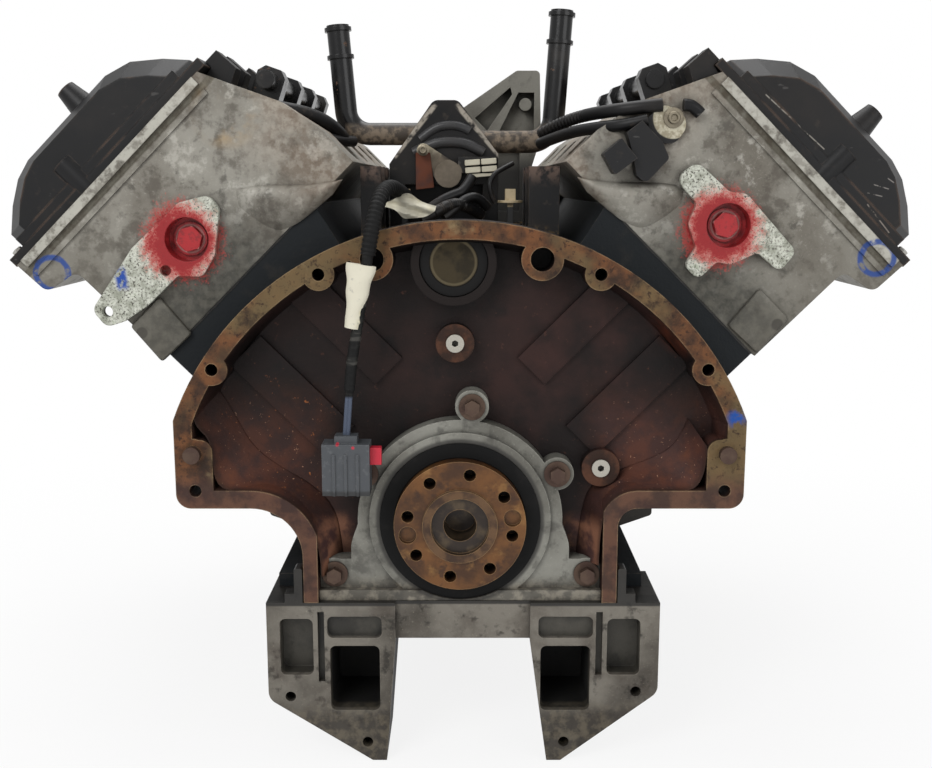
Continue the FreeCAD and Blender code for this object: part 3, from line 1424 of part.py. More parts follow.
def make_valley_cover():
    """Ribbed black cover plate on the valley floor with a finned wall along each side."""
    plate = box(-valley_cover_half_width, valley_cover_half_width, valley_cover_rear_y, valley_cover_front_y,
                valley_floor_z, valley_floor_z + valley_cover_plate)
    shapes = [plate]
    reach = valley_cover_half_width - valley_cover_edge
    for k in range(valley_rib_count):
        y = valley_cover_rear_y + valley_rib_inset + k * valley_rib_pitch
        shapes.append(box(-reach, reach, y, y + valley_rib_width, valley_floor_z, valley_deck_z))
    pitch = (side_fin_front_y - side_fin_rear_y - side_fin_width) / (side_fin_count - 1)
    for side in sides:
        low, high = sorted((side * side_wall_inner, side * side_wall_outer))
        shapes.append(box(low, high, side_fin_rear_y, side_fin_front_y, valley_floor_z, side_fin_top_z))
        for k in range(side_fin_count):
            y = side_fin_rear_y + k * pitch
            near = y + side_fin_width < side_fin_manifold_y
            inner = side_fin_inner[side] if near else side_fin_manifold_inner
            low, high = sorted((side * inner, side * side_wall_outer))
            shapes.append(box(low, high, y, y + side_fin_width, valley_floor_z, side_fin_top_z))
    return both(shapes)


def make_coolant_housing():
    """Black coolant outlet housing in the valley that both heater pipes plug into."""
    left = housing_side_x[-1]
    right = housing_side_x[1]
    rear = heater_pipe_y - housing_rear_gap
    foot = valley_deck_z
    top = foot + housing_top_rise
    corners = [(left, foot), (right, foot), (right, foot + housing_shoulder_rise[1]),
               (housing_top_x[1], top, 8.0), (housing_top_x[0], top, 8.0),
               (left, foot + housing_shoulder_rise[-1])]
    body = prism(corners, rear, rear + housing_depth)
    slot = box(left + housing_slot_inset, right - housing_slot_inset, rear - 1.0, rear + housing_slot_depth,
               foot + housing_slot_rise[0], foot + housing_slot_rise[1])
    sockets = [Part.makeCylinder(pipe_radius, abs(housing_side_x[side] - heater_pipe_end_x[side]) + pipe_radius,
                                 Vector(heater_pipe_end_x[side], heater_pipe_y, heater_pipe_bend_z[side]),
                                 Vector(side, 0, 0)) for side in sides]
    return body.cut([slot] + sockets)


def make_accessory_bracket():
    """Ribbed aluminium bracket at the front of the valley."""
    rear = accessory_bracket_y - accessory_bracket_thickness / 2.0
    front = rear + accessory_bracket_thickness
    foot = valley_deck_z
    corners = [(accessory_foot_x[0], foot)]
    corners += [(corner[0], foot + corner[1]) + tuple(corner[2:]) for corner in accessory_outline]
    corners.append((accessory_foot_x[1], foot))
    windows = [prism([(x, foot + rise) for x, rise in window], rear - 1.0, front - accessory_web)
               for window in accessory_windows]
    x, rise, radius = accessory_boss
    boss = rod_y(x, foot + rise, radius, rear, front)
    return both([prism(corners, rear, front).cut(windows), boss])


def make_heater_pipe(side):
    """Steel coolant pipe that stands up out of the valley, with two beads at its open end."""
    top_x, top_z = heater_pipe_top[side]
    end_x = heater_pipe_end_x[side]
    bend_x = top_x - side * 8.0
    bend_z = heater_pipe_bend_z[side]
    points = [(top_x, heater_pipe_y, top_z), (bend_x, heater_pipe_y, bend_z), (end_x, heater_pipe_y, bend_z)]
    outer = tube(points, pipe_bend_radius, pipe_radius)[0]
    axis = (Vector(*points[1]) - Vector(*points[0])).normalize()
    beads = []
    for drop in (2.0, 26.0):
        beads.append(Part.makeCylinder(pipe_bead_radius, 3.5, Vector(*points[0]) + axis * drop, axis))
    inner = Part.makeCylinder(pipe_radius - 2.0, 70.0, Vector(*points[0]) - axis, axis)
    return both([outer] + beads).cut(inner)


def slope_point(share, out):
    """Point beside the inner sloping wall of a head in bank axes, out away from the wall."""
    low = Vector(-head_slope_foot[0], 0, cam_axis_height - head_slope_foot[1])
    high = Vector(-head_joint_inner, 0, cover_joint)
    along = (high - low)
    normal = Vector(-along.z, 0, along.x).normalize()
    point = low + along * share + normal * out
    return (point.x, point.z)


def make_fuel_rail(side):
    """Round rail along the inner wall of a head, on clamps that seat on the wall."""
    u, v = slope_point(0.36, rail_clamp[0] / 2.0 + 1.0)
    shapes = [rod_y(u, v, rail_radius, rail_rear_y, rail_front_y)]
    for y in bore_centres(side):
        corners = [slope_point(0.18, 0.0), slope_point(0.54, 0.0), slope_point(0.54, rail_clamp[0] - 6.0),
                   slope_point(0.46, rail_clamp[0]), slope_point(0.26, rail_clamp[0]),
                   slope_point(0.18, rail_clamp[0] - 6.0)]
        shapes.append(prism(corners, y - rail_clamp[1] / 2.0, y + rail_clamp[1] / 2.0))
    return bank(both(shapes), side)


def make_injector_caps():
    """Stepped black injector connectors along the inner edge of both cam covers."""
    caps = []
    for side in sides:
        corners = [slope_point(share, 0.0) for share in injector_foot]
        corners += [(u, cover_joint + rise) for u, rise in injector_outline]
        corners.append(slope_point(injector_foot[0], injector_out))
        half = injector_width / 2.0
        for y in [bore_centres(side)[0] - injector_first_step] + bore_centres(side):
            caps.append(bank(prism(corners, y - half, y + half), side))
    return caps


def make_valley_sensor():
    """Round sensor with its bolted ear and its plug on the rear of the coolant housing."""
    rear = heater_pipe_y - housing_rear_gap
    x, z = valley_sensor_place[0], valley_deck_z + valley_sensor_place[1]
    ear_x, ear_z = valley_sensor_ear[0], valley_deck_z + valley_sensor_ear[1]
    plate_rear = rear - ear_plate_thickness
    reach = math.hypot(ear_x - x, ear_z - z)
    across = Vector(-(ear_z - z) / reach, 0, (ear_x - x) / reach)
    disc = Vector(x, 0, z)
    hole = Vector(ear_x, 0, ear_z)
    strap = [disc + across * valley_sensor_radius, hole + across * valley_sensor_ear_radius,
             hole - across * valley_sensor_ear_radius, disc - across * valley_sensor_radius]
    strap = prism([(point.x, point.z) for point in strap], plate_rear, rear)
    body = rod_y(x, z, valley_sensor_radius, rear - valley_sensor_depth, rear)
    ear = rod_y(ear_x, ear_z, valley_sensor_ear_radius, plate_rear, rear)
    bolt = hex_y(ear_x, ear_z, valley_sensor_ear_radius * 1.4, plate_rear - ear_plate_thickness, plate_rear)
    plug_x, plug_rise, plug_width, plug_height = valley_sensor_plug
    plug = box(plug_x, plug_x + plug_width, rear - valley_sensor_depth, rear, valley_deck_z + plug_rise,
               valley_deck_z + plug_rise + plug_height)
    return both([body, strap, ear, bolt, plug])


def make_cam_sensor():
    """Cam position sensor with its metal ear, on the rear face of the right head."""
    shapes = []
    rear = head_rear_y
    for corners, y0, y1 in ((cam_sensor_body, rear - cam_sensor_body_depth, rear),
                            (cam_sensor_plug, rear - cam_sensor_plug_depth[0],
                             rear - cam_sensor_plug_depth[1]),
                            (cam_sensor_ear, rear - cam_sensor_ear_depth, rear)):
        placed = [(corner[0], cam_axis_height - corner[1]) + tuple(corner[2:]) for corner in corners]
        shapes.append(prism(placed, y0, y1))
    return bank(both(shapes), 1)


def make_mounts():
    """Ribbed engine mount brackets on both sides of the crankcase."""
    brackets = []
    for side in sides:
        corners = [(skirt_half_width, 4.0), (skirt_half_width, rail_z + rail_thickness),
                   (mount_bracket_reach, -36.0, 4.0), (mount_bracket_reach, -14.0, 4.0), (150.0, 2.0)]
        corners = [(side * corner[0],) + tuple(corner[1:]) for corner in corners]
        body = prism(corners, mount_bracket_rear_y, mount_bracket_front_y)
        near, far = sorted((side * mount_slot_inner, side * (mount_bracket_reach + 1.0)))
        slots = [box(near, far, mount_bracket_rear_y + step, mount_bracket_rear_y + step + mount_slot_width,
                     mount_slot_rises[0], mount_slot_rises[1]) for step in mount_slot_steps]
        brackets.append(body.cut(slots))
    return brackets


def make_cable_clips():
    """Posts with pale caps that carry harness plugs on the valley cover."""
    clips = []
    foot = valley_deck_z - 4.0
    seat = valley_deck_z + cable_clip_rise
    for x, y in cable_clip_places:
        width, depth, height = cable_clip_size
        post = box(x - width / 2.0 + 2.0, x + width / 2.0 - 2.0, y - depth / 2.0, y + depth / 2.0, foot, seat)
        cap = box(x - width / 2.0, x + width / 2.0, y - depth / 2.0 - 2.0, y + depth / 2.0 + 2.0, seat,
                  seat + height)
        disc = Part.makeCylinder(cable_clip_disc_radius, cable_clip_disc_thickness,
                                 Vector(x, y, seat - cable_clip_disc_thickness))
        clips.append(both([post, disc, cap]))
    return clips


def lead_path_radii(points):
    """Arc radius at each inner point of the lead."""
    radii = []
    path = [Vector(*point) for point in points]
    for k in range(1, len(path) - 1):
        back = path[k - 1] - path[k]
        ahead = path[k + 1] - path[k]
        half_turn = (math.pi - back.getAngle(ahead)) / 2.0
        radii.append(0.45 * min(back.Length, ahead.Length) / math.tan(half_turn))
    return radii


def make_lead():
    """Taped harness lead along its route."""
    radii = lead_path_radii(lead_points)
    solid, wire = tube(lead_points, radii, lead_radius)
    print("lead radii", [round(radius, 1) for radius in radii])
    print("lead length", round(wire.Length, 1), "volume ratio",
          round(solid.Volume / (math.pi * lead_radius ** 2 * wire.Length), 4))
    return solid


def make_connector():
    """Socket connector that hangs on the lead, open at its lower end."""
    width, depth, height = connector_size
    x, y, z = lead_points[-1]
    body = box(x - width / 2.0, x + width / 2.0, y - depth / 2.0, y + depth / 2.0, z - height, z - 6.0)
    neck = box(x - 9.0, x + 9.0, y - 7.0, y + 7.0, z - 6.0, z)
    socket = box(x - width / 2.0 + connector_wall, x + width / 2.0 - connector_wall,
                 y - depth / 2.0 + connector_wall,
                 y + depth / 2.0 - connector_wall, z - height - 1.0, z - height + connector_depth)
    ribs = []
    for share in (-0.25, 0.0, 0.25):
        ribs.append(box(x + width * share - 1.0, x + width * share + 1.0, y - depth / 2.0 - 1.5,
                        y - depth / 2.0,
                        z - height, z - 14.0))
    return both([body, neck] + ribs).cut(socket)


def make_lock():
    """Red lock tab on the side of the connector."""
    width, depth, height = connector_size
    x, y, z = lead_points[-1]
    left = x + width / 2.0
    return box(left, left + lock_size[0], y - lock_size[1] / 2.0, y + lock_size[1] / 2.0, z - 24.0,
               z - 24.0 + lock_size[2])


def build():
    """Writes every node of the engine."""
    os.makedirs("parts", exist_ok=True)
    write("cylinder_block", make_block())
    write("main_bearing_caps", make_caps())
    write("main_cap_bolts", make_cap_bolts())
    write("main_bearing_shells", make_shells())
    write("rear_seal_carrier", make_carrier())
    write("rear_crank_seal", make_rear_seal())
    write("seal_carrier_bolts", make_carrier_bolts())
    write("block_plugs", make_block_plugs())
    write("bell_dowels", make_dowels())
    write("sump_body", make_sump())
    write("lower_oil_pan", make_pan())
    write("oil_drain_plug", make_drain_plug())
    write("sump_bolts", make_sump_bolts())
    write("oil_pickup_pipe", make_pickup())
    write("crankshaft", make_crankshaft())
    write("crank_damper", make_damper())
    write("damper_bolt", make_damper_bolt())
    write("cam_bearing_caps", make_cam_caps())
    write("cam_cover_bolts", make_cover_bolts())
    write("valves_and_springs", make_valves())
    write("head_plugs", make_head_plugs())
    write("timing_chains", make_chains())
    write("front_timing_cover", make_timing_cover())
    write("front_crank_seal", make_front_seal())
    write("front_cover_bolts", make_front_bolts())
    write("water_pump_housing", make_pump())
    write("water_pump_pulley", make_pump_pulley())
    write("valley_cover", make_valley_cover())
    write("coolant_housing", make_coolant_housing())
    write("accessory_bracket", make_accessory_bracket())
    write("injector_caps", make_injector_caps())
    write("valley_sensor", make_valley_sensor())
    write("cam_position_sensor", make_cam_sensor())
    write("engine_mount_brackets", make_mounts())
    write("cable_clips", make_cable_clips())
    write("harness_lead", make_lead())
    write("harness_connector", make_connector())
    write("connector_lock", make_lock())
    for side in sides:
        name = side_names[side]
        write("cylinder_head_" + name, make_head(side))
        write("head_gasket_" + name, make_head_gasket(side))
        write("cam_cover_" + name, make_cam_cover(side))
        write("heater_pipe_" + name, make_heater_pipe(side))
        write("fuel_rail_" + name, make_fuel_rail(side))
        write("camshaft_outer_" + name, make_camshaft(side, cam_axis_offset, 0.0))
        write("camshaft_inner_" + name, make_camshaft(side, -cam_axis_offset, 110.0))
        for k in range(cylinders_per_bank):
            write("piston_" + name + "_" + str(k + 1), make_piston(side, k))


build()
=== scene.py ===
# %% [markdown]
# # A V8 long block seen from its gearbox side
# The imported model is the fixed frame: every casting, shaft and bolt is already in its
# place. This lesson adds what makes it look used: rust, paint, grime, the taped lead
# and the small soft or moulded pieces in the valley.

# %% Load the frame
import math

import bmesh
import bpy
import numpy as np
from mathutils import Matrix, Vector


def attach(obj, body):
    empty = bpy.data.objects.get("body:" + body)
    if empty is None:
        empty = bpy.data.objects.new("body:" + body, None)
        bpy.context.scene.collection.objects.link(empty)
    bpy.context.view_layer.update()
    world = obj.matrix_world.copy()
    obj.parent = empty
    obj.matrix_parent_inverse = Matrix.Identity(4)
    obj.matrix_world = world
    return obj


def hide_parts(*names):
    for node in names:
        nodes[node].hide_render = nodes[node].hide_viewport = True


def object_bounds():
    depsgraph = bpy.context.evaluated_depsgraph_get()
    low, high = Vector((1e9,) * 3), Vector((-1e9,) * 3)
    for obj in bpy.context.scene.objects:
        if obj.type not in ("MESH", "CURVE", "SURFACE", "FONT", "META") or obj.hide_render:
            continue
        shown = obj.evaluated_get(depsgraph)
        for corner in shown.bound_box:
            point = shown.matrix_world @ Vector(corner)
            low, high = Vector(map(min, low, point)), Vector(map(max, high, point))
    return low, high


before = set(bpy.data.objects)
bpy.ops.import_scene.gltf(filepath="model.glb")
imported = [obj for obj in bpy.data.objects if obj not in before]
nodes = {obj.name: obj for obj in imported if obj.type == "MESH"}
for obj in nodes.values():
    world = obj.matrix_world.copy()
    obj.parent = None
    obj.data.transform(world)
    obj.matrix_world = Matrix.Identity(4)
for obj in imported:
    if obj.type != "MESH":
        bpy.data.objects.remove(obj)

cad_low, cad_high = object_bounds()
block = "engine_block"

# %% [markdown]
# ## The camera
# It stands 0.9 m behind the bell, a little above the crank, and looks ten degrees down.
# A wider lens from nearer would fan the banks out more; this place and lens are where
# the edges of the heads and of the sump meet those of the photograph.

# %% Camera
camera_data = bpy.data.cameras.new("bench_camera")
camera_data.sensor_width = 36.0
camera_data.lens = 43.57
camera = bpy.data.objects.new("bench_camera", camera_data)
camera.location = (0.005, -0.900, 0.2773)
camera.rotation_euler = (math.radians(80.0), 0.0, 0.0)
bpy.context.scene.collection.objects.link(camera)
bpy.context.scene.camera = camera
print("camera", tuple(round(v, 4) for v in camera.location), "lens", camera_data.lens)

# %% [markdown]
# ## Surfaces from arrays
# A new piece could be modelled by hand from a cylinder or a plane. Here it is a grid of
# points worked out with numpy, because its formula then says what its shape is, and one
# helper wraps every grid into a closed mesh that rides on the block.

# %% Surface helpers
sharp_angle = math.radians(38.0)


def mesh_piece(name, grid, finish, smooth=True):
    """Closed mesh from rings of points (ring, place on it, xyz): quads join neighbouring
    rings, one polygon covers each end, and all faces are turned outward."""
    rows, columns = grid.shape[:2]
    index = np.arange(rows * columns).reshape(rows, columns)
    low, high = index[:-1], index[1:]
    quads = np.stack([low, np.roll(low, -1, axis=1), np.roll(high, -1, axis=1), high], axis=-1)
    faces = quads.reshape(-1, 4).tolist() + [index[0][::-1].tolist(), index[-1].tolist()]
    mesh = bpy.data.meshes.new(name)
    mesh.from_pydata(grid.reshape(-1, 3).tolist(), [], faces)
    shell = bmesh.new()
    shell.from_mesh(mesh)
    bmesh.ops.recalc_face_normals(shell, faces=shell.faces)
    shell.to_mesh(mesh)
    shell.free()
    if smooth:
        mesh.shade_smooth()
        mesh.set_sharp_from_angle(angle=sharp_angle)
    mesh.materials.append(finish)
    piece = bpy.data.objects.new(name, mesh)
    bpy.context.scene.collection.objects.link(piece)
    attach(piece, block)
    return piece


def swept(path, radius, sides=16, shape=None):
    """Rings round a path and square to it: r(share, turn) = radius shape(share, turn)."""
    path = np.asarray(path, float)
    along = np.gradient(path, axis=0)
    along /= np.linalg.norm(along, axis=1, keepdims=True)
    least_spread = int(np.argmin(np.ptp(path, axis=0)))
    across = np.cross(along, np.eye(3)[least_spread])
    across /= np.linalg.norm(across, axis=1, keepdims=True)
    upward = np.cross(across, along)
    turn = np.linspace(0.0, 2.0 * np.pi, sides, endpoint=False)[None, :]
    reach = np.full((len(path), sides), radius)
    if shape is not None:
        reach = reach * shape(np.linspace(0.0, 1.0, len(path))[:, None], turn)
    ring = across[:, None] * np.cos(turn)[..., None] + upward[:, None] * np.sin(turn)[..., None]
    return path[:, None] + ring * reach[..., None]


def turned(profile, centre, sides=24):
    """Turned piece: x = -r cos(turn), y = height, z = r sin(turn), for each (r, height)."""
    radius, height = np.asarray(profile, float).T[:, :, None]
    turn = np.linspace(0.0, 2.0 * np.pi, sides, endpoint=False)
    swing = [-radius * np.cos(turn), height + 0.0 * turn, radius * np.sin(turn)]
    return np.asarray(centre, float) + np.stack(swing, axis=-1)


def rounded(corners, radius, steps=4):
    """Closed outline with soft corners: each is the curve (1-t)^2 start + 2t(1-t) corner
    + t^2 stop, between the points where a circle of the radius touches the two sides."""
    corners = np.asarray(corners, float)
    back = np.roll(corners, 1, axis=0) - corners
    ahead = np.roll(corners, -1, axis=0) - corners
    back_length = np.linalg.norm(back, axis=1, keepdims=True)
    ahead_length = np.linalg.norm(ahead, axis=1, keepdims=True)
    back, ahead = back / back_length, ahead / ahead_length
    half = np.arccos(np.clip((back * ahead).sum(1, keepdims=True), -1.0, 1.0)) / 2.0
    most = 0.48 * np.minimum(back_length, ahead_length)
    reach = np.minimum(radius / np.tan(half), most)
    start, stop = corners + back * reach, corners + ahead * reach
    t = np.linspace(0.0, 1.0, steps)[None, :, None]
    curve = ((1 - t) ** 2 * start[:, None] + 2 * t * (1 - t) * corners[:, None]
             + t ** 2 * stop[:, None])
    return curve.reshape(-1, 2)


def slab(outline, y0, y1, edge):
    """Flat piece between two y planes; both rims are drawn in by edge to break them."""
    outline = np.asarray(outline, float)
    middle = outline.mean(axis=0)
    size = np.linalg.norm(outline - middle, axis=1).mean()
    small = middle + (outline - middle) * (1.0 - edge / size)
    rows = [(small, y0), (outline, y0 + edge), (outline, y1 - edge), (small, y1)]
    return np.stack([np.c_[flat[:, 0], np.full(len(flat), y), flat[:, 1]] for flat, y in rows])


# %% [markdown]
# ## Shader maths as Python
# Dirt follows rules such as "brown where it is low and cloudy". In the node editor that
# is a web of Math nodes. Here one small class wraps an output socket, so that a mask
# reads like a formula, and every other node comes from one function.

# %% Shader helpers
half_root = math.sqrt(0.5)


class Wire:
    """An output of a material's node tree; arithmetic on it adds Math nodes."""

    def __init__(self, tree, socket):
        self.tree = tree
        self.socket = socket

    def math(self, operation, *others):
        values = dict(enumerate((self,) + others))
        return node(self.tree, "ShaderNodeMath", {"operation": operation}, values)

    def __add__(self, other):
        return self.math("ADD", other)

    def __sub__(self, other):
        return self.math("SUBTRACT", other)

    def __mul__(self, other):
        return self.math("MULTIPLY", other)

    def __rsub__(self, other):
        return (self * -1.0).math("ADD", other)

    def __gt__(self, other):
        return self.math("GREATER_THAN", other)

    def __lt__(self, other):
        return self.math("LESS_THAN", other)

    def __abs__(self):
        return self.math("ABSOLUTE")

    __radd__ = __add__
    __rmul__ = __mul__

    def ramp(self, low, high):
        """0 at low, 1 at high and a smooth step between them; high may be the smaller."""
        return node(self.tree, "ShaderNodeMapRange", {"interpolation_type": "SMOOTHSTEP"},
                    {0: self, 1: low, 2: high, 3: 0.0, 4: 1.0})

    def both(self, other):
        return self.math("MINIMUM", other)

    def either(self, other):
        return self.math("MAXIMUM", other)


def node(tree, kind, settings=None, sockets=None, output=0):
    """Adds one node: its settings first, then the values or links of its sockets."""
    made = tree.nodes.new(kind)
    for name, value in (settings or {}).items():
        setattr(made, name, value)
    for key, value in (sockets or {}).items():
        if isinstance(value, Wire):
            tree.links.new(value.socket, made.inputs[key])
        else:
            made.inputs[key].default_value = value
    return Wire(tree, made.outputs[output])


def paint(red, green, blue):
    """Linear colour of a paint chip s = 0 to 255: ((s / 255 + 0.055) / 1.055) ** 2.4, or
    s / 255 / 12.92 where it is very dark."""
    shares = [value / 255.0 for value in (red, green, blue)]
    return tuple(s / 12.92 if s <= 0.04045 else ((s + 0.055) / 1.055) ** 2.4 for s in shares)


class Finish:
    """A material being mixed: colour, roughness, metal and relief start plain and take layers."""

    def __init__(self, name, colour, roughness=0.6, metallic=0.0, shine=0.5):
        self.material = bpy.data.materials.new(name)
        self.material.use_nodes = True
        self.tree = self.material.node_tree
        self.shader = self.tree.nodes["Principled BSDF"]
        self.shader.inputs["Specular IOR Level"].default_value = shine
        self.place = node(self.tree, "ShaderNodeTexCoord", output=3)
        split = node(self.tree, "ShaderNodeSeparateXYZ", {}, {0: self.place}).socket.node
        self.x, self.y, self.z = (Wire(self.tree, split.outputs[k]) for k in range(3))
        self.colour = (*colour, 1.0)
        self.roughness = roughness
        self.metallic = metallic
        self.relief = None

    def across_bank(self, side):
        """Distance outward along a bank's deck: u = (side x - z) / sqrt 2, in metres."""
        return (self.x * side - self.z) * half_root

    def along_bank(self, side):
        """Height along a bank's cylinders: v = (side x + z) / sqrt 2, in metres."""
        return (self.x * side + self.z) * half_root

    def around(self, x, z):
        """Distance in the x-z plane from a point, in metres."""
        across, upward = self.x - x, self.z - z
        return (across * across + upward * upward).math("SQRT")

    def disc(self, x, z, radius, soft=0.001):
        """1 inside a round spot seen along y, 0 outside it."""
        return self.around(x, z).ramp(radius + soft, radius - soft)

    def streak(self, x0, z0, x1, z1, width):
        """1 along a straight line from one point of the x-z plane to the other."""
        length = math.hypot(x1 - x0, z1 - z0)
        ahead, rise = (x1 - x0) / length, (z1 - z0) / length
        along = (self.x - x0) * ahead + (self.z - z0) * rise
        beside = abs((self.x - x0) * rise - (self.z - z0) * ahead)
        ends = along.ramp(0.0, width) * along.ramp(length, length - width)
        return beside.ramp(width, width * 0.4) * ends

    def crevice_shade_and_grime(self, reach):
        """1 deep in corners and pockets, 0 on open faces, felt over the given reach; layers laid
        by it are painted shade with grime.
        """
        return 1.0 - node(self.tree, "ShaderNodeAmbientOcclusion", {"samples": 6},
                          {"Distance": reach}, output=1)

    def corner(self, radius):
        """1 along sharp edges: where the rounded normal leans away from the true one."""
        soft = node(self.tree, "ShaderNodeBevel", {"samples": 4}, {"Radius": radius})
        true = node(self.tree, "ShaderNodeNewGeometry", output=1)
        lean = node(self.tree, "ShaderNodeVectorMath", {"operation": "DOT_PRODUCT"},
                    {0: soft, 1: true}, output=1)
        return lean.ramp(0.995, 0.86)

    def noise(self, scale, detail=4.0, rough=0.6, stretch=None, seed=0.0):
        """Clouds from 0 to 1, about scale of them per metre; stretch draws them out."""
        place = self.place
        if stretch or seed:
            away = (seed, seed * 0.7, seed * 1.3)
            place = node(self.tree, "ShaderNodeMapping", {},
                         {0: place, "Scale": stretch or (1, 1, 1), "Location": away})
        return node(self.tree, "ShaderNodeTexNoise", {},
                    {"Vector": place, "Scale": scale, "Detail": detail, "Roughness": rough})

    def blend(self, first, second, share):
        """Mix of two colours by share."""
        first, second = ((*c, 1.0) if isinstance(c, tuple) and len(c) == 3 else c
                         for c in (first, second))
        return node(self.tree, "ShaderNodeMix", {"data_type": "RGBA"},
                    {0: share, 6: first, 7: second}, output=2)

    def two_tone(self, first, second, pattern, low=0.40, high=0.60):
        """Runs from the first colour to the second as a pattern rises from low to high."""
        return self.blend(first, second, pattern.ramp(low, high))

    def mixed(self, first, second, share):
        """Number between two values by share."""
        return node(self.tree, "ShaderNodeMix", {"data_type": "FLOAT"},
                    {0: share, 2: first, 3: second})

    def layer(self, share, colour=None, roughness=None, metallic=None):
        """Lays a finish over what is there, where share is 1."""
        if colour is not None:
            self.colour = self.blend(self.colour, colour, share)
        if roughness is not None:
            self.roughness = self.mixed(self.roughness, roughness, share)
        if metallic is not None:
            self.metallic = self.mixed(self.metallic, metallic, share)
        return self

    def bump(self, height, depth):
        """Adds relief; depth is the height of the relief in metres."""
        self.relief = height * depth if self.relief is None else self.relief + height * depth
        return self

    def done(self, soft_edge=0.0006):
        """Plugs everything into the shader; soft_edge rounds the look of sharp edges."""
        normal = None
        if soft_edge:
            normal = node(self.tree, "ShaderNodeBevel", {"samples": 3}, {"Radius": soft_edge})
        if self.relief is not None:
            put = {"Height": self.relief, "Distance": 1.0, "Strength": 1.0}
            if normal is not None:
                put["Normal"] = normal
            normal = node(self.tree, "ShaderNodeBump", {}, put)
        sockets = {"Base Color": self.colour, "Roughness": self.roughness,
                   "Metallic": self.metallic}
        if normal is not None:
            sockets["Normal"] = normal
        for name, value in sockets.items():
            if isinstance(value, Wire):
                self.tree.links.new(value.socket, self.shader.inputs[name])
            else:
                self.shader.inputs[name].default_value = value
        return self.material


def dress(finish, *names):
    """Gives CAD nodes their finish."""
    for name in names:
        for slot in nodes[name].material_slots:
            slot.material = finish


# %% [markdown]
# ## Cast iron of the block
# The block is one casting with three finishes: the machined rim is rusty with olive
# patches, the dish behind it is a dark oily brown with rust blooms low down, and the
# outside is black paint with dust. They could be three materials on face groups. One
# material that asks how deep a point lies needs no groups and has no hard seams.

# %% Block finish
rim_back = 0.0012
dish_back = 0.0345
core_plug = (-0.005, 0.2155)
socket_plugs = ((-0.004, 0.149), (0.118, 0.0435))


